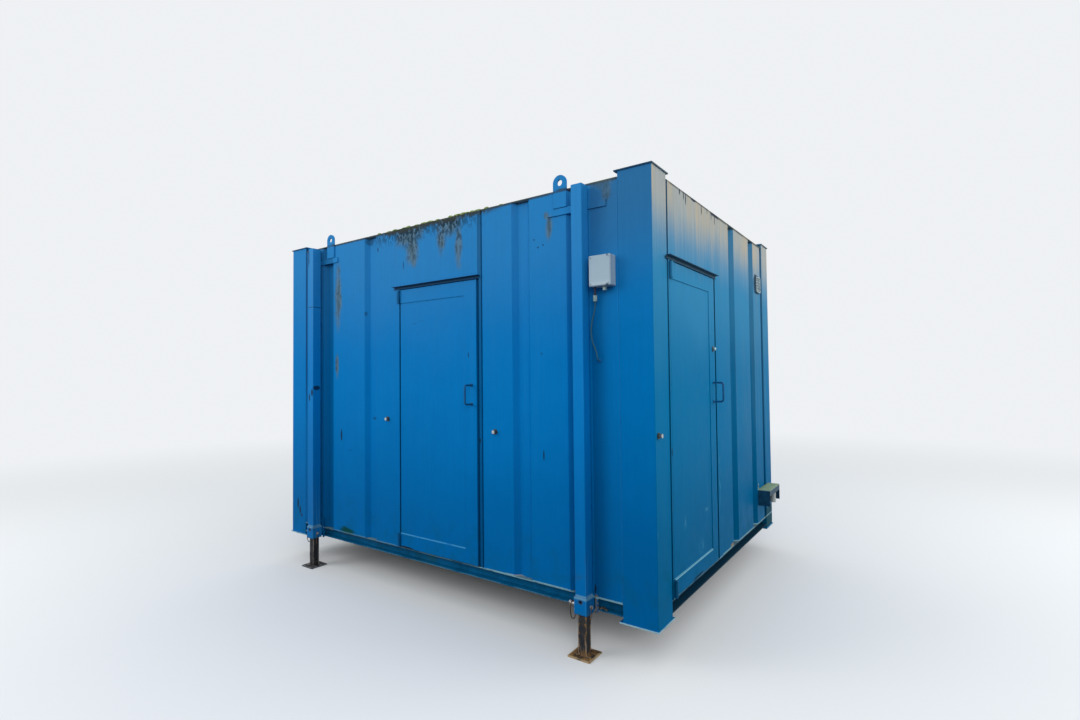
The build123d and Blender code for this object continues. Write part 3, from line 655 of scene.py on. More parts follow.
class Azure(Coat):
    """Gloss azure over pressed steel. It deepens to the foot and pales upwards, partly faded and partly a
    painted reflection of the sky, and the end walls are duller, streaked with dust, and pale to a cream in
    soft runs below the roof, partly chalking and partly a painted reflection of the sky."""

    def __init__(self, name, paints, specular, roughness=0.5):
        super().__init__(name, roughness, specular)
        self.slow = self.noise(1.7, 3.0)
        self.runs = self.noise((22.0, 22.0, 0.55), 3.0, 0.6)
        self.fine_runs = self.noise((70.0, 70.0, 1.4), 2.0, 0.6, shift=(3, 1, 0))
        self.speckle = self.noise(60.0, 4.0, 0.65)
        self.patchy = self.noise(9.0, 5.0, 0.62)
        self.height = self.z + (self.slow - 0.5) * 0.5
        self.on_post = (self.past_end.ramp(-POST_LENGTH - 0.004, -POST_LENGTH)
                        * self.past_side.ramp(-POST_DEPTH - 0.004, -POST_DEPTH))
        self.on_end = self.past_end.ramp(-0.16, -0.14) * self.past_side.ramp(-0.001, -0.002)
        end = self.end_tone(paints)
        self.tone = self.blend(self.on_end, self.front_tone(paints), end)
        self.dim(0.93 + self.fine_runs * 0.14 + (self.patchy - 0.5) * 0.10)

    def front_tone(self, paints):
        """The long walls: deeper at the foot, paler above, partly faded and partly a painted reflection of
        the sky, greyer and darker right of the near jack, where the jack's shadow is painted.

        The narrow joint beside the near post is painted lighter in its depth, a painted light against its
        shade, so that it doesn't read as a line.
        """
        x, z = self.x, self.z
        # Deeper at the foot and paler near the roof: partly faded paint and partly a painted reflection of
        # the sky
        tone = self.blend(self.height.ramp(0.45, 1.65), paints.azure_low, paints.azure)
        tone = self.blend(self.height.ramp(1.75, 2.75), tone, paints.azure_high)
        tone = self.blend(self.runs.ramp(0.50, 0.80) * z.ramp(0.8, 2.4) * 0.40, tone, paints.azure_high)
        right_of_jack = x.ramp(1.395, 1.400)
        tone = self.shade(tone, 1 - right_of_jack * (0.09 + z.ramp(2.2, 1.2) * 0.05))
        tone = self.blend(right_of_jack * z.ramp(2.10, 2.80) * 0.25, tone, (0.060, 0.060, 0.030))
        # The near jack's shadow painted on the wall right of it
        tone = self.shade(tone, 1 - right_of_jack * x.ramp(1.54, 1.41) * z.ramp(2.3, 1.8) * 0.24)
        # Painted light in the joint beside the near post, against its shade
        post_side = RIGHT - POST_LENGTH
        joint = self.between(x, post_side - 0.007, post_side + 0.007) * right_of_jack
        joint_sides = joint * abs(self.facing[0]).ramp(0.5, 0.8)
        return self.blend(joint_sides, self.shade(tone, 1 + joint * 0.09), (0.030, 0.260, 0.580))

    def end_tone(self, paints):
        """The end walls: dust in runs towards the back, then pale blue-grey, cream and warm streaks below the
        roof, partly chalking and partly a painted reflection of the sky.

        The flanks of their recesses and joints are darker than their faces, a painted shade.
        """
        y, z, runs, fine_runs = self.y, self.z, self.runs, self.fine_runs
        # Deeper at the foot and paler at door head height, partly a painted reflection of the sky
        tone = self.blend(self.height.ramp(0.45, 1.60), paints.end_low, paints.end_azure)
        tone = self.blend(self.height.ramp(1.55, 2.35), tone, paints.end_high)
        dusty = y.ramp(-0.5, 1.2) * runs.ramp(0.35, 0.75) * z.ramp(0.60, 1.6) * 0.50
        tone = self.blend(dusty, tone, paints.dust)
        line = (z + self.on_post * 0.02 + (runs - 0.5) * 0.20 + (fine_runs - 0.5) * 0.10
                + (self.slow - 0.5) * 0.16)
        # On the outward faces below the roof: pale blue-grey, then cream with warm streaks, partly chalking
        # and partly a painted reflection of the sky
        outer = self.past_end.ramp(-0.016, -0.010) * abs(self.facing[0]).ramp(0.80, 0.97)
        tone = self.blend(line.ramp(2.30, 2.62) * (0.35 + outer * 0.65), tone, paints.bloom_and_sky_sheen)
        warm = self.noise((6.0, 6.0, 0.7), 2.0, 0.5, shift=(1, 4, 0)).ramp(0.44, 0.60)
        warm = warm.most(self.between(y, -0.75, 0.75, 0.25) * runs.ramp(0.42, 0.60) * 0.8)
        cream = self.blend(warm * fine_runs.ramp(0.35, 0.60) * 0.9, paints.chalk_and_sky_sheen, paints.beige)
        cream = self.shade(cream, 0.90 + fine_runs * 0.20)
        self.chalk_and_sheen_share = outer * line.ramp(2.48, 2.78)
        tone = self.blend(self.chalk_and_sheen_share * 0.94, tone, cream)
        # Painted shade on the flanks of the recesses and joints
        flank = self.on_end * abs(self.facing[1]).ramp(0.5, 0.8)
        return self.shade(tone, 1 - flank * 0.22)

    def face(self, along_wall, near):
        """Chooses the wall that the next marks are on: the axis along it, and 1 where it is near."""
        self.flat = self.add("ShaderNodeCombineXYZ", None, {0: along_wall, 1: self.z})
        self.near = near

    def marks(self, places, sharp, soft):
        """1 inside ellipses on the chosen wall, with ragged edges."""
        nearest = None
        for centre, height, half_width, half_height in places:
            reach = self.spot((centre, height, 0), (half_width, half_height, 1), self.flat)
            nearest = reach if nearest is None else nearest.least(reach)
        return (nearest + (self.patchy - 0.5) * soft).ramp(1.0, sharp) * self.near

    def ledge(self, axis, ends, drop):
        """1 on the painted highlight along a sunk panel's lower rail."""
        start, stop, height = ends
        line = self.between(self.z, height - drop, height + 0.004)
        return self.between(axis, start, stop) * self.near * line


def door_gap_shade(coat):
    """1 on the edges of leaves and jambs, and on the joints beside the end header, where shade is painted
    into the gaps.
    """
    x, y = coat.x, coat.y
    low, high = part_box("front_door_leaf")
    beside = (coat.between(x, low.x - 0.016, low.x + 0.003)
              .most(coat.between(x, high.x - 0.003, high.x + 0.030)))
    front = beside * coat.between(coat.past_side, -0.046, -0.001) * abs(coat.facing[0]).ramp(0.5, 0.8)
    low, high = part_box("end_door_leaf")
    beside = (coat.between(y, low.y - 0.034, low.y + 0.003)
              .most(coat.between(y, high.y - 0.003, high.y + 0.030)))
    inside = coat.between(x, RIGHT - 0.046, RIGHT + 0.0055)
    return front.most(beside * inside * abs(coat.facing[1]).ramp(0.5, 0.8))


def azure_paint(name, paints, side="plain", leaf=None):
    """The azure with its dirt, its wear and the marks of the two walls that show. A leaf is lined inside."""
    coat = Azure(name, paints, specular=0.008 if side == "end" else 0.022)
    x, y, z = coat.x, coat.y, coat.z
    patchy, fine_runs, past_end, past_side = coat.patchy, coat.fine_runs, coat.past_end, coat.past_side
    off_post = 1 - coat.on_post

    # A green tint low down, a dark patchy band under the roof edge that is painted shade mixed with dirt, and
    # dirt that runs down from it in drips
    coat.lay(z.ramp(0.80, 0.34) * patchy.ramp(0.40, 0.75) * 0.45, (0.004, 0.080, 0.130))
    roof_edge_shade = (coat.between(z, ROOF_EDGE_FOOT, ROOF_EDGE_TOP, 0.005) * off_post
                  * patchy.ramp(0.25, 0.50))
    coat.lay(roof_edge_shade * 0.75, (0.030, 0.036, 0.036))
    drips = fine_runs.ramp(0.60, 0.74) * z.ramp(2.72, 2.86) * coat.facing[2].ramp(0.5, 0.2) * off_post
    coat.lay(drips * 0.65, (0.060, 0.066, 0.062))

    # Specks, and painted shade in the gaps of the doors, thinner right of the front door and at the end door
    specks = coat.noise(120.0, 2.0, 0.7, shift=(9, 2, 4)).ramp(0.735, 0.765) * coat.slow.ramp(0.40, 0.60)
    coat.lay(specks * (1 - coat.chalk_and_sheen_share) * 0.6, paints.grime)
    right_gap = coat.between(x, 0.40, 0.55) * y.ramp(FRONT + 0.05, FRONT + 0.048)
    end_gap = x.ramp(RIGHT - 0.050, RIGHT - 0.048)
    coat.lay(door_gap_shade(coat) * (0.88 - right_gap * 0.60 - end_gap * 0.30), (0.002, 0.016, 0.040))
    # Painted shade on the jamb face right of the front door
    coat.dim(1 - coat.between(x, 0.470, 0.506) * right_gap * 0.42)

    if side == "front":
        front_marks(coat, paints)
    elif side == "end":
        end_marks(coat, paints)
    else:
        peeled = patchy.ramp(0.63, 0.70) * coat.runs.ramp(0.45, 0.65) * z.ramp(2.30, 2.75)
        coat.lay(peeled * 0.6, paints.primer)

    # The lip along the foot of the wall sheets is worn pale, most of all right of the front door
    beside = coat.between(past_side, -0.003, 0.0085) * past_end.ramp(-0.221, -0.224)
    ends = coat.on_end * past_side.ramp(-0.215, -0.218)
    lip = coat.between(z, WALL_FOOT - 0.004, WALL_FOOT + 0.006, 0.0015) * beside.most(ends)
    share = 0.30 + x.ramp(0.40, 0.50) * 0.50
    coat.lay(lip * share * patchy.ramp(0.25, 0.50) * 1.3, paints.worn)

    # Inside, the walls are lined, and the posts are painted to match
    inside = (past_end.most(past_side).ramp(0.0003 - LINING_DEPTH, -0.0003 - LINING_DEPTH)
              * z.ramp(WALL_FOOT - 0.001, WALL_FOOT + 0.001) * z.ramp(WALL_TOP + 0.002, WALL_TOP))
    if leaf:
        low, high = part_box(leaf)
        inside = inside.most(y.ramp(high.y - 0.0010, high.y - 0.0005) if side == "front"
                             else x.ramp(low.x + 0.0010, low.x + 0.0005))
    coat.lay(inside, coat.blend(coat.slow.ramp(0.35, 0.75) * 0.4, paints.lining, (0.46, 0.44, 0.38)))
    return coat.done((coat.slow, 0.010), (coat.noise(5.0, 2.0), 0.0012), (coat.speckle, 0.0003), edge=0.004,
                     roughness=paints.gloss + (patchy - 0.4) * 0.25 + coat.chalk_and_sheen_share * 0.25 + inside * 0.2)


def front_marks(coat, paints):
    """The front wall's own marks, at their places."""
    x, z, patchy, speckle = coat.x, coat.z, coat.patchy, coat.speckle
    coat.face(x, coat.y.ramp(FRONT + 0.05, FRONT + 0.04))

    # Peeled film in upright streaks, blotched dark near the roof
    streaky = coat.noise((38.0, 38.0, 3.6), 4.0, 0.7, shift=(5, 0, 2))
    blotchy = coat.noise((40.0, 40.0, 22.0), 4.0, 0.62, shift=(2, 0, 6))
    peeled = coat.marks(FRONT_PEELED, 0.35, 0.9)
    film = coat.blend(streaky.ramp(0.45, 0.65), paints.primer, (0.072, 0.106, 0.095))
    coat.lay(peeled * streaky.ramp(0.18, 0.46) * (0.80 - x.ramp(1.35, 1.40) * 0.25), film)
    high_up = z.ramp(2.52, 2.84)
    blotches = (blotchy + high_up * 0.10).ramp(0.52, 0.60) * (0.40 + high_up * 0.45)
    coat.lay(peeled * blotches * (1 - x.ramp(0.9, 1.0) * 0.65), (0.006, 0.028, 0.055))
    near_roof = coat.between(x, -0.66, 0.50, 0.14) * coat.near * z.ramp(2.70, 2.86)
    coat.lay(near_roof * (blotchy + z.ramp(2.68, 2.84) * 0.14).ramp(0.56, 0.65) * 0.8, (0.006, 0.030, 0.055))
    # A darker band under the roof edge, painted shade mixed with dirt, with moss in it
    roof_edge_shade_and_dirt = coat.between(x, -0.60, 0.62, 0.15) * coat.near * coat.between(z, 2.830, 2.868, 0.014)
    coat.lay(roof_edge_shade_and_dirt * blotchy.ramp(0.30, 0.48) * 0.85, (0.035, 0.042, 0.036))
    coat.lay(roof_edge_shade_and_dirt * blotchy.ramp(0.60, 0.68) * z.ramp(2.84, 2.855) * 0.8, (0.16, 0.19, 0.12))

    # Painted shade in the angle beside the left post and the jack's shadow painted in the recess behind it,
    # then scratches, faint dashes and a painted highlight on the rail of the door
    shade_beside_post = coat.between(x, -1.682, -1.654, 0.005) * coat.near
    coat.lay(shade_beside_post * (0.35 + z.ramp(1.1, 1.8) * 0.5), (0.0, 0.038, 0.130))
    jack_shadow_behind = coat.between(x, -1.415, -1.247, 0.003) * coat.near
    coat.dim(1 - jack_shadow_behind * 0.32)
    coat.lay(coat.marks(FRONT_SCRATCHES, 0.7, 0.4) * 0.95, paints.grime)
    coat.lay(coat.marks(FRONT_DASHES, 0.6, 0.4) * 0.5, paints.grime)
    # A painted highlight on the lower rail of the door's sunk panel
    coat.lay(coat.ledge(x, FRONT_LEDGE, 0.005) * patchy.ramp(0.25, 0.50) * 0.9, (0.045, 0.260, 0.520))
    coat.lay(coat.marks(FRONT_BARE, 0.6, 0.5) * 0.85, (0.330, 0.350, 0.320))

    # The lower leg of the near jack's strap is rubbed and rusty
    strap = (coat.between(x, STRAP_LEFT, STRAP_RIGHT) * coat.between(z, 0.246, 0.356, 0.006)
             * coat.y.ramp(FRONT - 0.0005, FRONT - 0.0015))
    coat.lay(strap * speckle.ramp(0.42, 0.55) * 0.75, (0.200, 0.180, 0.140))
    coat.lay(strap * speckle.ramp(0.58, 0.66) * 0.8, paints.rust)
    coat.lay(coat.marks(FRONT_GROWTH, 0.4, 1.4) * 0.92, (0.002, 0.046, 0.026))


def end_marks(coat, paints):
    """The end wall's own marks, at their places."""
    y, z, patchy = coat.y, coat.z, coat.patchy
    near = coat.at_right * coat.facing[0].ramp(0.3, 0.6)
    coat.face(y, near)

    # The joints beside the header, painted shade round the vent, and a dark line over it
    joint = coat.between(y, -0.1985, -0.1925).most(coat.between(y, -1.160, -1.1535)) * near
    coat.lay(joint * z.ramp(2.392, 2.398) * 0.8, (0.040, 0.060, 0.080))
    shade_round_vent = coat.spot((0.940, 2.490, 0), (0.105, 0.095, 1), coat.flat).ramp(1.1, 0.75) * near
    coat.lay(shade_round_vent * 0.75, (0.030, 0.100, 0.190))
    over_vent = coat.between(y, 0.884, 1.030) * coat.between(z, 2.556, 2.578, 0.005) * near
    coat.lay(over_vent * 0.8, (0.020, 0.030, 0.040))

    # Algae at the far foot, a painted highlight on the rail of the door, the pale foot line, scuffs, rust and
    # scratches
    far_foot = (y.ramp(1.02, 1.14) * z.ramp(0.47, 0.36) + (patchy - 0.5) * 0.4).ramp(0.3, 0.7)
    coat.lay(far_foot * near * 0.85, (0.003, 0.048, 0.060))
    # A painted highlight on the lower rail of the door's sunk panel
    coat.lay(coat.ledge(y, END_LEDGE, 0.007) * patchy.ramp(0.22, 0.42) * 0.9, (0.220, 0.500, 0.600))
    foot_line = coat.between(z, WALL_FOOT - 0.002, WALL_FOOT + 0.009) * y.ramp(-0.28, -0.24) * near
    coat.lay(foot_line * patchy.ramp(0.28, 0.46) * 0.8, (0.200, 0.380, 0.450))
    rubbed = coat.noise((70.0, 70.0, 16.0), 4.0, 0.65, shift=(6, 3, 1)).ramp(0.42, 0.62)
    coat.lay(coat.marks(END_SCUFFS, 0.0, 0.8) * rubbed * 0.60, (0.060, 0.280, 0.400))
    coat.lay(coat.marks(END_RUST, 0.3, 1.2) * 0.8, (0.300, 0.200, 0.060))
    coat.lay(coat.marks(END_SCRATCHES, 0.5, 0.9) * 0.85, paints.grime)


def jack_paint(name, paints, corner):
    """The housings and collars: azure, rounded corners, worn pale at the foot, with the bare rusty pin."""
    coat = Azure(name, paints, specular=0.06)
    x, z, patchy, speckle = coat.x, coat.z, coat.patchy, coat.speckle
    low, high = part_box("jack_housing_" + corner)
    collar_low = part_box("jack_collar_" + corner)[0]
    from_axis = abs(x - (low.x + high.x) / 2)
    coat.dim(1.06)
    foot_band = coat.between(z, low.z - 0.012, low.z + 0.012, 0.004) * patchy.ramp(0.30, 0.50)
    coat.lay(foot_band * 0.55, paints.worn)
    corner_wear = from_axis.ramp(0.030, 0.036) * coat.fine_runs.ramp(0.45, 0.60) * z.ramp(0.9, 0.4)
    coat.lay(corner_wear * 0.25, (0.060, 0.260, 0.450))
    hole = coat.spot(((low.x + high.x) / 2, collar_low.y, low.z - 0.026), (0.028, 0.030, 0.022))
    coat.lay((hole + (patchy - 0.5) * 1.2).ramp(1.0, 0.3) * 0.75, (0.045, 0.045, 0.050))
    moss = z.ramp(collar_low.z + 0.030, collar_low.z) * speckle.ramp(0.45, 0.60)
    coat.lay(moss * 0.5, (0.020, 0.130, 0.150))
    coat.lay(z.ramp(0.9, 0.3) * patchy.ramp(0.55, 0.70) * 0.5, (0.030, 0.060, 0.080))
    if corner == "front_left":
        # The joint of this tube, and the dark flakes along its edges
        coat.lay(coat.between(z, 2.309, 2.315) * 0.85, (0.004, 0.030, 0.070))
        blotch = coat.spot((high.x, -1.432, 1.586), (0.030, 0.040, 0.024)).ramp(1.1, 0.6)
        tail = coat.spot((high.x - 0.018, low.y, 1.545), (0.018, 0.014, 0.036)).ramp(1.1, 0.6)
        left_tail = coat.spot((low.x + 0.018, low.y, 1.500), (0.012, 0.014, 0.040)).ramp(1.1, 0.5)
        ragged = coat.spot((low.x, low.y, 2.76), (0.016, 0.020, 0.100)) + (speckle - 0.5) * 1.5
        flakes = blotch.most(tail).most(left_tail).most(ragged.ramp(1.0, 0.5))
        coat.lay(flakes * 0.85, (0.004, 0.012, 0.025))
    on_pin = from_axis.ramp(0.0443, 0.0448) * z.ramp(low.z - 0.001, low.z - 0.004)
    coat.lay(on_pin, coat.blend(speckle.ramp(0.45, 0.60), (0.560, 0.570, 0.570), (0.110, 0.070, 0.050)))
    return coat.done((coat.noise(4.0, 2.0), 0.0015), (speckle, 0.0004), edge=0.007,
                     roughness=paints.gloss + (patchy - 0.4) * 0.25,
                     metallic=on_pin * speckle.ramp(0.60, 0.45) * 0.8)


def drip_paint(name):
    """The drip angles: dark all over as a painted shade under their ledge, paler on their upward faces as a
    painted highlight, with soot and a little rust.
    """
    coat = Coat(name, roughness=0.6, specular=0.12)
    patchy = coat.noise(24.0, 5.0, 0.62)
    fine = coat.noise((90.0, 90.0, 24.0), 3.0, 0.6)
    # Dark all over: a painted shade under the ledge
    coat.tone = coat.blend(coat.at_right, (0.002, 0.056, 0.150), (0.030, 0.092, 0.150))
    coat.lay(patchy.ramp(0.40, 0.65) * 0.6, (0.010, 0.060, 0.110))
    coat.lay(fine.ramp(0.64, 0.76) * 0.4, (0.050, 0.056, 0.056))
    # Paler on upward faces: a painted highlight
    coat.lay(coat.facing[2].ramp(0.4, 0.9) * patchy.ramp(0.3, 0.5) * 0.8, (0.100, 0.230, 0.330))
    return coat.done((fine, 0.0005), edge=0.0015)


def handle_paint(name):
    """Door handles: a dark navy all over, with grey patches."""
    coat = Coat(name, roughness=0.45, specular=0.2)
    patchy = coat.noise(40.0, 4.0, 0.6)
    coat.tone = coat.blend(patchy.ramp(0.35, 0.65), (0.001, 0.066, 0.190), (0.003, 0.100, 0.250))
    coat.lay(patchy.ramp(0.66, 0.74) * 0.7, (0.120, 0.140, 0.150))
    return coat.done((coat.noise(160.0, 3.0), 0.0002), edge=0.003)


def hinge_paint(name, paints):
    """Hinge knuckles: azure with grease, and rust at their joints. The end door's upper one is cleaner."""
    coat = Azure(name, paints, specular=0.06, roughness=0.45)
    greasy = coat.noise((60.0, 60.0, 18.0), 4.0, 0.6)
    clean = coat.at_right * coat.z.ramp(0.8, 1.2)
    coat.lay((0.45 + greasy.ramp(0.45, 0.68) * 0.45) * (1 - clean * 0.9), (0.004, 0.050, 0.100))
    coat.lay(greasy.ramp(0.68, 0.76) * (0.7 - clean * 0.6), (0.100, 0.070, 0.045))
    return coat.done((greasy, 0.0005), edge=0.002)


def hood_paint(name, paints):
    """The service hood: navy sides, a mossy top with pale edges, and painted shade inside it and on its front
    lip.
    """
    coat = Coat(name, specular=0.13)
    low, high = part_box("service_hood")
    top = high.z - HOOD_TAB
    x, y, z = coat.x, coat.y, coat.z
    patchy = coat.noise(22.0, 5.0, 0.62)
    coat.tone = coat.blend(patchy.ramp(0.35, 0.65), (0.003, 0.036, 0.080), (0.006, 0.060, 0.120))
    # Painted shade inside the hood
    inner = y.ramp(low.y + 0.005, low.y + 0.008) * x.ramp(high.x - 0.003, high.x - 0.006)
    coat.lay(inner * 0.6, (0.004, 0.020, 0.045))
    # Painted shade on the hood's front lip
    coat.lay(x.ramp(high.x - 0.006, high.x - 0.003) * 0.5, (0.030, 0.060, 0.080))
    upper = coat.facing[2].ramp(0.5, 0.9)
    coat.lay(upper * 0.95, coat.blend(patchy.ramp(0.40, 0.62), paints.moss, (0.220, 0.300, 0.190)))
    rim = z.ramp(top - 0.007, top - 0.003) * (1 - upper)
    coat.lay(rim * patchy.ramp(0.3, 0.5) * 0.85, (0.330, 0.500, 0.470))
    coat.lay(z.ramp(top + 0.002, top + 0.006) * 0.8, (0.110, 0.260, 0.330))
    return coat.done((patchy, 0.0010), edge=0.002)


def roof_paint(name, paints):
    """The roof sheet: faded azure under dust, with moss in its low places and the ceiling lined below."""
    coat = Coat(name, roughness=0.6, specular=0.13)
    slow = coat.noise(1.3, 4.0, 0.6)
    patchy = coat.noise(8.0, 5.0, 0.65)
    speckle = coat.noise(55.0, 3.0, 0.6)
    coat.tone = coat.blend(slow.ramp(0.35, 0.70), (0.020, 0.150, 0.300), (0.120, 0.200, 0.250))
    coat.lay(patchy.ramp(0.52, 0.70) * 0.6, (0.200, 0.210, 0.190))
    edge = coat.past_end.ramp(-0.10, -0.01).most(coat.past_side.ramp(-0.10, -0.01))
    coat.lay((edge + (patchy - 0.5)).ramp(0.35, 0.75) * 0.8, (0.045, 0.050, 0.042))
    coat.lay((edge + (patchy - 0.5) * 1.6).ramp(0.75, 1.1) * speckle.ramp(0.4, 0.6), paints.moss)
    side = coat.facing[2].ramp(0.6, 0.2) * coat.z.ramp(WALL_TOP - 0.001, WALL_TOP + 0.001)
    coat.lay(side * 0.75, (0.030, 0.038, 0.038))
    coat.lay(coat.z.ramp(WALL_TOP + 0.001, WALL_TOP - 0.001), paints.lining)
    return coat.done((slow, 0.012), (speckle, 0.0006), edge=0.003)


def plate_paint(name, paints):
    """The plates that close the posts: azure, worn pale and rusty round their edges."""
    coat = Azure(name, paints, specular=0.06, roughness=0.45)
    edge = coat.past_end.ramp(0.0045, 0.0060).most(coat.past_side.ramp(0.0045, 0.0060))
    at_foot = coat.z.ramp(1.0, 0.9)
    at_top = 1 - at_foot
    coat.lay(edge * coat.patchy.ramp(0.28, 0.45) * at_foot * 0.9, (0.310, 0.500, 0.560))
    coat.lay(edge * at_foot * coat.speckle.ramp(0.60, 0.68) * 0.8, (0.150, 0.080, 0.040))
    coat.lay(at_top * edge * 0.8, (0.020, 0.045, 0.070))
    coat.lay(coat.facing[2].ramp(0.5, 0.9) * at_top * 0.6, (0.150, 0.170, 0.160))
    return coat.done((coat.speckle, 0.0006), edge=0.002)


def leg_steel(name, worn_edges=True):
    """Bare leg steel, nearly black with scale and rust, worn pale at its corners and golden at the right."""
    coat = Coat(name, specular=0.2)
    x, z = coat.x, coat.z
    blotch = coat.noise(26.0, 5.0, 0.65)
    runs = coat.noise((110.0, 110.0, 12.0), 4.0, 0.62)
    coat.tone = coat.blend(blotch.ramp(0.45, 0.66), (0.009, 0.012, 0.017), (0.034, 0.030, 0.030))
    coat.lay(runs.ramp(0.58, 0.70) * 0.55, (0.110, 0.100, 0.092))
    if worn_edges:
        across = abs(abs(x - MIDDLE_X) - JACK_X)
        out = abs(abs(coat.y) - JACK_Y)
        corner = across.ramp(0.0205, 0.0245) * out.ramp(0.0205, 0.0245) * out.ramp(0.031, 0.029)
        coat.lay(corner * runs.ramp(0.42, 0.52) * 0.80, (0.270, 0.230, 0.190))
        golden = x.ramp(0.2, 0.4)
        flecks = coat.noise((90.0, 90.0, 40.0), 3.0, 0.6, shift=(4, 4, 1)).ramp(0.52, 0.60)
        coat.lay(across.least(out).ramp(0.014, 0.022) * flecks * 0.9,
                 coat.blend(golden, (0.150, 0.130, 0.115), (0.330, 0.170, 0.045)))
        coat.lay(z.ramp(0.055, 0.008) * blotch.ramp(0.40, 0.55) * golden * 0.60, (0.230, 0.125, 0.045))
        rim = z.ramp(0.0135, 0.0095) * across.most(out).ramp(0.064, 0.0735)
        coat.lay(rim * (0.35 + blotch.ramp(0.35, 0.55) * 0.6),
                 coat.blend(golden, (0.130, 0.145, 0.165), (0.400, 0.290, 0.160)))
    else:
        coat.lay(blotch.ramp(0.35, 0.55) * 0.8, (0.140, 0.085, 0.055))
    return coat.done((blotch, 0.0015), (coat.noise(220.0, 3.0), 0.0006), edge=0.003,
                     roughness=0.50 + blotch * 0.3)


def underframe(name, paints):
    """The channels under the walls: azure in their mouths, painted shade under the lip, with algae, mud and
    rust, and the end rails dark with painted shade mixed with dirt.
    """
    coat = Coat(name, roughness=0.55, specular=0.07)
    x, z, past_end, past_side = coat.x, coat.z, coat.past_end, coat.past_side
    patchy = coat.noise(7.0, 5.0, 0.6)
    blotch = coat.noise(3.0, 3.0, 0.6, shift=(2, 7, 1))
    speckle = coat.noise(70.0, 3.0, 0.6)
    coat.tone = coat.blend(patchy.ramp(0.35, 0.65), (0.0, 0.075, 0.175), (0.001, 0.105, 0.250))
    # Painted shade under the lip
    coat.lay(z.ramp(0.290, 0.320) * 0.7, (0.001, 0.018, 0.045))
    outer = past_end.ramp(-0.003, -0.001).most(past_side.ramp(-0.003, -0.001))
    low_edge = outer * z.ramp(0.270, 0.264) * patchy.ramp(0.40, 0.60)
    coat.lay(low_edge * 0.6, (0.090, 0.190, 0.250))
    lip = outer * z.ramp(0.327, 0.330)
    coat.lay(lip * patchy.ramp(0.30, 0.55) * (0.35 + x.ramp(0.40, 0.50) * 0.5), paints.worn)
    coat.lay(blotch.ramp(0.56, 0.70) * 0.55, (0.016, 0.090, 0.080))
    coat.lay(blotch.ramp(0.64, 0.78) * speckle.ramp(0.4, 0.6) * 0.6, (0.110, 0.075, 0.045))
    # The end rails dark: painted shade mixed with dirt
    at_end = past_end.ramp(-0.066, -0.061) * past_side.ramp(-0.20, -0.22)
    coat.lay(at_end * (0.92 - lip * 0.5), (0.003, 0.022, 0.042))
    under = past_end.most(past_side).ramp(-0.061, -0.066)
    coat.lay(under * 0.7, (0.025, 0.035, 0.045))
    ledge = coat.facing[2].ramp(0.5, 0.9) * z.ramp(0.330, 0.334) * (1 - under)
    coat.lay(ledge * (0.55 + patchy.ramp(0.35, 0.55) * 0.35), (0.130, 0.210, 0.230))
    return coat.done((speckle, 0.0006), edge=0.003)


def bright_steel(name):
    """Zinc plated fittings, dulled and spotted, darker near the wall as a painted shade, on a black washer
    where they meet the wall.
    """
    coat = Coat(name)
    spots = coat.noise(160.0, 4.0, 0.65)
    out = (coat.x - RIGHT).most(FRONT - coat.y)
    washer = out.ramp(0.0060, 0.0053)
    coat.tone = coat.blend(spots.ramp(0.52, 0.68), (0.420, 0.450, 0.450), (0.160, 0.155, 0.150))
    # Painted shade on the shank near the wall
    coat.lay(out.ramp(0.0250, 0.0215) * 0.85, (0.050, 0.066, 0.076))
    coat.lay(washer, (0.010, 0.014, 0.018))
    return coat.done((spots, 0.0003), edge=0.0015, roughness=0.30 + spots * 0.35,
                     metallic=spots.ramp(0.70, 0.50) * 0.7 * (1 - washer))


def dull_metal(name, colour):
    """Small dull metal parts: screws, the lock and its cover, debris."""
    coat = Coat(name, roughness=0.45, specular=0.3)
    spots = coat.noise(220.0, 4.0, 0.65)
    coat.tone = coat.blend(spots.ramp(0.50, 0.68), colour, darker(colour, 0.45))
    return coat.done((spots, 0.0002), edge=0.001, metallic=spots.ramp(0.65, 0.50) * 0.6)


def black_rubber(name):
    """Seal rubber: dull, with dust caught in it."""
    coat = Coat(name, roughness=0.75, specular=0.2)
    dust = coat.noise((60.0, 60.0, 14.0), 4.0, 0.6)
    coat.tone = coat.blend(dust.ramp(0.5, 0.75) * 0.6, (0.012, 0.013, 0.015), (0.070, 0.072, 0.075))
    return coat.done((dust, 0.0003))


def moss_growth(name, paints):
    """Moss: tufts of olive and yellow-green with brown dead parts, paler on the hood."""
    coat = Coat(name, roughness=0.9, specular=0.1)
    tufts = coat.noise(240.0, 4.0, 0.7)
    patchy = coat.noise(34.0, 3.0, 0.6)
    coat.tone = coat.blend(patchy.ramp(0.38, 0.62), (0.260, 0.330, 0.150), paints.moss)
    at_hood = coat.x.ramp(RIGHT - 0.01, RIGHT + 0.001)
    coat.lay(at_hood * patchy.ramp(0.30, 0.52) * 0.85, (0.250, 0.360, 0.270))
    coat.lay(patchy.ramp(0.60, 0.72) * 0.8, (0.100, 0.085, 0.045))
    coat.lay(tufts.ramp(0.55, 0.70) * 0.6, (0.040, 0.060, 0.015))
    return coat.done((tufts, 0.002))


def floor_board(name):
    """Plain board: long grain with knots rubbed away, scuffed where people walk."""
    coat = Coat(name, roughness=0.6, specular=0.3)
    grain = coat.noise((3.0, 90.0, 20.0), 5.0, 0.6, distortion=0.6)
    coat.tone = coat.blend(grain.ramp(0.3, 0.7), (0.190, 0.130, 0.080), (0.330, 0.245, 0.160))
    coat.lay(coat.noise(2.2, 3.0).ramp(0.45, 0.8) * 0.5, (0.090, 0.075, 0.060))
    return coat.done((grain, 0.0005))


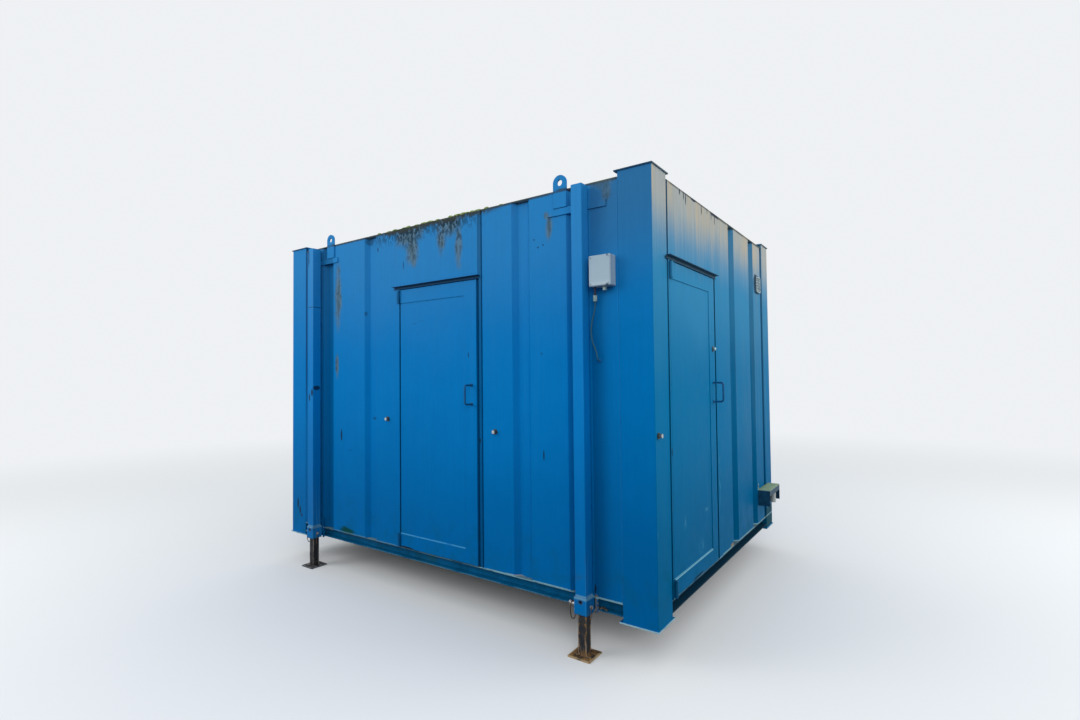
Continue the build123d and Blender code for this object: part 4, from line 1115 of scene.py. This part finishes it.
class CABIN_OT_finishes(bpy.types.Operator):
    """Paints every solid of the cabin with its procedural material."""
    bl_idname = "cabin.finishes"
    bl_label = "Finishes"

    def execute(self, context):
        paints = context.scene.cabin_paints
        finishes = {}
        for material, nodes in (
                (azure_paint("azure_front", paints, "front"),
                 ("front_wall_left", "front_wall_right", "front_wall_header", "front_door_jambs",
                  "front_door_head_and_sill", "jack_straps", "corner_post_front_left")),
                (azure_paint("azure_end", paints, "end"),
                 ("corner_post_front_right", "corner_post_back_right", "end_wall", "end_wall_header",
                  "end_door_jambs", "end_door_head_and_sill")),
                (azure_paint("azure_front_leaf", paints, "front", "front_door_leaf"), ("front_door_leaf",)),
                (azure_paint("azure_end_leaf", paints, "end", "end_door_leaf"), ("end_door_leaf",)),
                (handle_paint("handle_paint"), ("front_door_handle", "end_door_handle")),
                (hinge_paint("hinge_paint", paints),
                 ("front_door_hinge_barrels", "end_door_hinge_barrels", "door_hinge_pins")),
                (plate_paint("plate_paint", paints), ("post_base_plates", "post_cap_plates")),
                (underframe("underframe_paint", paints), ("bottom_rails", "floor_joists")),
                (drip_paint("drip_paint"), ("drip_angles",)),
                (hood_paint("hood_paint", paints), ("service_hood",)),
                (roof_paint("roof_paint", paints), ("roof",)),
                (floor_board("floor_board"), ("floor_deck",)),
                (bright_steel("bright_steel"), ("wall_studs",)),
                (dull_metal("lock_metal", (0.300, 0.360, 0.360)), ("end_door_lock",)),
                (box_plastic("pale_plastic"), ("junction_box",)),
                (vent_plastic("vent_plastic"), ("vent",)),
                (plain_plastic("pipe_plastic", (0.420, 0.450, 0.440), 30.0), ("waste_pipe",)),
                (gland_plastic("gland_plastic", paints), ("cable_glands", "cable")),
                (leg_steel("leg_steel"), ["jack_leg_" + corner for corner in CORNERS])):
            finishes.update(dict.fromkeys(nodes, material))
        for corner in CORNERS:
            jack = jack_paint("jack_paint_" + corner, paints, corner)
            finishes.update({"jack_housing_" + corner: jack, "jack_collar_" + corner: jack})
        plain = azure_paint("azure_plain", paints)
        for node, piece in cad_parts.items():
            piece.data.materials.clear()
            piece.data.materials.append(finishes.get(node, plain))
        return {"FINISHED"}


# Small pieces

class CABIN_OT_pin_keepers(bpy.types.Operator):
    """Hangs a wire loop on the neck of each jack pin, and a clip on its tail."""
    bl_idname = "cabin.pin_keepers"
    bl_label = "Pin keepers"

    pin_radius = 0.010
    play = 0.0003
    loop_inset = 0.024
    clip_inset = 0.006
    clip_radius = 0.0022

    def execute(self, context):
        keepers = context.scene.cabin_keepers
        material = leg_steel("keeper_wire", worn_edges=False)
        for corner in CORNERS:
            low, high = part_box("jack_collar_" + corner)
            leg_low, leg_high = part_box("jack_leg_" + corner)
            outward = -1.0 if corner.startswith("front") else 1.0
            pin_height = high.z - PIN_DROP
            axis_y = (leg_low.y + leg_high.y) / 2
            neck_end, tail_end = (low.x, high.x) if outward < 0 else (high.x, low.x)
            flat = np.array((math.sin(keepers.turn), math.cos(keepers.turn), 0.0)) * -outward
            top = np.array((neck_end - outward * self.loop_inset, axis_y,
                            pin_height + self.pin_radius + keepers.wire + self.play))
            ring = carried(self.ring(top, keepers, flat), circle(keepers.wire, 10),
                           np.cross(flat, (0, 0, 1.0)), closed=True)
            loop = surface("pin_loop_" + corner, ring, closed_rows=True, closed_columns=True)
            finish_piece(loop, "jack_" + corner, material)
            path = self.clip(np.array((tail_end + outward * self.clip_inset, axis_y, pin_height)), outward)
            wire = carried(path, circle(self.clip_radius, 8), (0.0, 1.0, 0.0), tapered(len(path)))
            clip = surface("pin_clip_" + corner, wire, closed_columns=True)
            finish_piece(clip, "jack_" + corner, material)
        return {"FINISHED"}

    def ring(self, top, keepers, flat):
        """A hanging stadium: P(t) = top + (w/2) sign(cos t) |cos t|^0.8 F - (h/2) (1 - sin t) Z."""
        t = np.linspace(0, 2 * np.pi, 48, endpoint=False) + np.pi / 2
        across = keepers.width / 2 * np.sign(np.cos(t)) * np.abs(np.cos(t)) ** 0.8
        down = keepers.drop / 2 * (1 - np.sin(t))
        return top + across[:, None] * flat - down[:, None] * np.array((0.0, 0.0, 1.0))

    def clip(self, start, outward):
        """A bent wire from the pin's tail: P(u) = start - o (3 mm + 6 mm u sin 5u) X
        + o (10 mm + 4 mm sin 3u) Y + (12 mm - 115 mm u + 6 mm cos 7u) Z, where o is 1 at the back jacks and
        -1 at the front ones."""
        u = np.linspace(0, 1, 40)
        x = -outward * (0.003 + 0.006 * np.sin(5 * u) * u)
        y = outward * (0.010 + 0.004 * np.sin(3 * u))
        z = 0.012 - 0.115 * u + 0.006 * np.cos(7 * u)
        return start + np.stack([x, y, z], axis=1)


class CABIN_OT_welds(bpy.types.Operator):
    """Lays the weld beads round the lifting eyes and round the feet of the corner posts."""
    bl_idname = "cabin.welds"
    bl_label = "Welds"

    def execute(self, context):
        radius = context.scene.cabin_fittings.weld
        paint = bpy.data.materials["azure_plain"]
        head = WALL_TOP - 0.004
        for corner in CORNERS:
            low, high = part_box("lifting_eye_" + corner)
            face, out = (FRONT, -1.0) if corner.startswith("front") else (BACK, 1.0)
            path = ((low.x, face, head), (low.x, face, low.z), (high.x, face, low.z), (high.x, face, head))
            piece = bead("eye_weld_" + corner, path, radius, (0.0, out, 0.0), 0.18)
            finish_piece(piece, "cabin", paint)
        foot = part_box("corner_post_front_right")[0].z
        for corner in CORNERS:
            low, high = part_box("corner_post_" + corner)
            ring = ((low.x, low.y, foot), (high.x, low.y, foot), (high.x, high.y, foot),
                    (low.x, high.y, foot), (low.x, low.y, foot))
            piece = bead("foot_weld_" + corner, ring, radius * 0.8, (0.0, 0.0, 1.0), 0.15, 0.006, 6, True)
            finish_piece(piece, "cabin", paint)
        return {"FINISHED"}


class CABIN_OT_door_seals(bpy.types.Operator):
    """Fits a rubber seal to the stops of both doors."""
    bl_idname = "cabin.door_seals"
    bl_label = "Door seals"

    inset = 0.008
    foot_inset = 0.012
    half_width = 0.005
    step = 0.02

    def execute(self, context):
        height = context.scene.cabin_fittings.seal
        rubber = black_rubber("seal_rubber")
        low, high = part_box("front_door_leaf")
        left, right = ((x, high.y + STOP_GAP) for x in (low.x + self.inset, high.x - self.inset))
        self.fit("front_door_seal", left, right, low.z, high.z, (0.0, -1.0, 0.0), height, rubber)
        low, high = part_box("end_door_leaf")
        left, right = ((low.x - STOP_GAP, y) for y in (low.y + self.inset, high.y - self.inset))
        self.fit("end_door_seal", left, right, low.z, high.z, (1.0, 0.0, 0.0), height, rubber)
        return {"FINISHED"}

    def fit(self, name, left, right, foot, head, out, height, rubber):
        """A half round seal up, across and down, flat against the stop.

        Its section is (h sin t, 5 mm cos t) for t from 0 to pi.
        """
        foot, head = foot + self.foot_inset, head - self.inset
        points, _ = along(((*left, foot), (*left, head), (*right, head), (*right, foot)), self.step)
        t = np.linspace(0, np.pi, 7)
        profile = np.stack([height * np.sin(t), self.half_width * np.cos(t)], axis=1)
        piece = surface(name, carried(points, profile, out, tapered(len(points))), closed_columns=True)
        finish_piece(piece, "cabin", rubber)


class CABIN_OT_screws(bpy.types.Operator):
    """Screws the lid of the junction box, the vent and the hood's tab, and fits the lock's cover."""
    bl_idname = "cabin.screws"
    bl_label = "Screws and lock cover"

    lid_inset = 0.013
    vent_inset, vent_radius = 0.0045, 0.0035
    bolt_inset, bolt_drop, bolt_radius = 0.0125, 0.020, 0.008
    head = np.array(((0.0, 0.10), (0.25, 0.10), (0.32, 0.45), (0.80, 0.48), (1.0, 0.26), (1.0, -0.10),
                     (0.0, -0.10)))
    bezel = np.array(((0.0145, -0.006), (0.021, -0.006), (0.021, -0.0035), (0.018, -0.002), (0.0145, -0.002)))

    def execute(self, context):
        radius = context.scene.cabin_fittings.screw
        dark = dull_metal("dark_screw", (0.060, 0.080, 0.085))
        pale = plain_plastic("lid_screw", (0.260, 0.350, 0.420), 60.0, 0.001)
        low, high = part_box("junction_box")
        for number, (x, z) in enumerate(self.corners((low.x, low.z), (high.x, high.z), self.lid_inset)):
            self.screw(f"box_screw_{number}", (x, low.y, z), (0, -1, 0), radius, pale)
        low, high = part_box("vent")
        for number, (y, z) in enumerate(self.corners((low.y, low.z), (high.y, high.z), self.vent_inset)):
            self.screw(f"vent_screw_{number}", (high.x, y, z), (1, 0, 0), self.vent_radius, dark)
        low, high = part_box("service_hood")
        bolt = (RIGHT + TAB_THICKNESS, low.y + self.bolt_inset, high.z - self.bolt_drop)
        self.screw("hood_bolt", bolt, (1, 0, 0), self.bolt_radius, dark)
        low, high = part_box("end_door_lock")
        self.cover((high.x, (low.y + high.y) / 2, (low.z + high.z) / 2))
        return {"FINISHED"}

    def corners(self, low, high, inset):
        """The four corners of a rectangle, drawn in by an inset."""
        return [(a, b) for b in (low[1] + inset, high[1] - inset) for a in (low[0] + inset, high[0] - inset)]

    def screw(self, name, at, out, radius, material):
        """A dished pan head: r(s) runs 0, 0.25, 0.32, 0.8, 1, 1 and 0 times the head's radius."""
        piece = surface(name, turned(self.head * radius, 20, at, out), closed_columns=True)
        finish_piece(piece, "cabin", material)

    def cover(self, middle):
        """The lock's swing cover, a hollow dome on a dark bezel. The bezel's r runs 14.5, 21, 21, 18 and 14.5
        mm, and the dome is (12.5 mm cos t, 10 mm + 8 mm sin t) for t from 0 to a right angle."""
        piece = surface("lock_bezel", turned(self.bezel, 32, middle, (1, 0, 0)), closed_rows=True,
                        closed_columns=True)
        finish_piece(piece, "end_door", dull_metal("lock_bezel", (0.020, 0.040, 0.045)))
        t = np.linspace(0, np.pi / 2, 9)
        dome = np.concatenate((((0.0, 0.0005), (0.0125, 0.0005), (0.0125, 0.010)),
                               np.stack([0.0125 * np.cos(t), 0.010 + 0.008 * np.sin(t)], axis=1)))
        piece = surface("lock_cover", turned(dome, 32, middle, (1, 0, 0)), closed_columns=True)
        finish_piece(piece, "end_door", dull_metal("lock_cover", (0.330, 0.480, 0.520)))


class CABIN_OT_growth(bpy.types.Operator):
    """Grows moss on the roof edge and on the hood, and leaves debris in the channel by the near jack."""
    bl_idname = "cabin.growth"
    bl_label = "Moss and debris"

    tuft_middles = np.array((-0.62, -0.50, -0.42, -0.31, -0.26, -0.17, -0.08, -0.02, 0.06, 0.20, 0.27, 0.33,
                             0.37, 0.42, 0.47, 0.55, 0.68))
    tuft_lengths = np.array((0.020, 0.026, 0.034, 0.030, 0.024, 0.030, 0.040, 0.046, 0.024, 0.022, 0.034,
                             0.040, 0.030, 0.026, 0.034, 0.024, 0.018))
    roof_thickness = 0.006
    flange_thickness = 0.006
    debris_count = 9
    debris_reach = (1.405, 1.475)

    def execute(self, context):
        seed = context.scene.cabin_fittings.seed
        moss = moss_growth("moss", context.scene.cabin_paints)
        random = np.random.default_rng(seed)
        count = len(self.tuft_middles)
        centres = np.stack([self.tuft_middles, FRONT + random.uniform(0.002, 0.010, count),
                            np.full(count, WALL_TOP + self.roof_thickness)], axis=1)
        sizes = np.stack([self.tuft_lengths, random.uniform(0.009, 0.015, count),
                          random.uniform(0.006, 0.012, count)], axis=1)
        finish_piece(lumps("roof_edge_moss", centres, sizes, seed), "cabin", moss)
        finish_piece(self.hood_mat(seed + 2), "cabin", moss)

        count = self.debris_count
        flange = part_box("bottom_rails")[0].z + self.flange_thickness
        centres = np.stack([random.uniform(*self.debris_reach, count),
                            FRONT + random.uniform(0.008, 0.030, count),
                            np.full(count, flange + 0.004)], axis=1)
        sizes = random.uniform(0.005, 0.011, (count, 3))
        debris = dull_metal("rail_debris", (0.080, 0.075, 0.062))
        finish_piece(lumps("rail_debris", centres, sizes, seed + 1, 8, 12), "cabin", debris)
        return {"FINISHED"}

    def hood_mat(self, seed):
        """A low mat of moss: P(u, v) = (x, y, top + h), where h is a sum of sines and sinks at the rim."""
        low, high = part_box("service_hood")
        top = high.z - HOOD_TAB
        inset, sink = 0.004, 0.0012
        u, v = np.meshgrid(np.linspace(0, 1, 26), np.linspace(0, 1, 70), indexing="ij")
        rim = np.minimum(np.minimum(u, 1 - u) * 6, np.minimum(v, 1 - v) * 14).clip(0, 1)
        random = np.random.default_rng(seed)
        waves = zip(random.uniform(8, 40, 6), random.uniform(20, 90, 6), random.uniform(0, 6, 6))
        wave = sum(np.sin(a * u + b * v + c) for a, b, c in waves)
        height = rim * (0.0022 + 0.0007 * wave) - sink * (1 - rim)
        x = RIGHT + inset + u * (high.x - RIGHT - 2 * inset)
        y = low.y + inset + v * (high.y - low.y - 2 * inset)
        upper = np.stack([x, y, top + height], axis=-1)
        under = np.stack([x, y, np.full_like(x, top - sink)], axis=-1)[::-1]
        return surface("hood_moss", np.concatenate((upper, under)), closed_rows=True)


GROUPS = {"cabin_paints": CabinPaints, "cabin_cable": CableFacts, "cabin_keepers": PinKeepers,
          "cabin_fittings": Fittings}
STEPS = (CABIN_OT_stage, CABIN_OT_cable, CABIN_OT_finishes, CABIN_OT_pin_keepers, CABIN_OT_welds,
         CABIN_OT_door_seals, CABIN_OT_screws, CABIN_OT_growth)


class CABIN_PT_panel(bpy.types.Panel):
    """Lists the cabin's settings and steps in the sidebar."""
    bl_idname = "CABIN_PT_panel"
    bl_label = "Site Cabin"
    bl_space_type = "VIEW_3D"
    bl_region_type = "UI"
    bl_category = "Site Cabin"

    def draw(self, context):
        for name, group in GROUPS.items():
            box = self.layout.box()
            for setting in group.__annotations__:
                box.prop(getattr(context.scene, name), setting)
        for step in STEPS:
            self.layout.operator(step.bl_idname)


CLASSES = (*GROUPS.values(), *STEPS, CABIN_PT_panel)


def register():
    for cls in CLASSES:
        bpy.utils.register_class(cls)
    for name, group in GROUPS.items():
        setattr(bpy.types.Scene, name, bpy.props.PointerProperty(type=group))


def unregister():
    for name in GROUPS:
        delattr(bpy.types.Scene, name)
    for cls in reversed(CLASSES):
        bpy.utils.unregister_class(cls)


def main():
    register()
    for step in STEPS:
        getattr(bpy.ops.cabin, step.bl_idname.split(".")[1])()


if __name__ == "__main__":
    main()
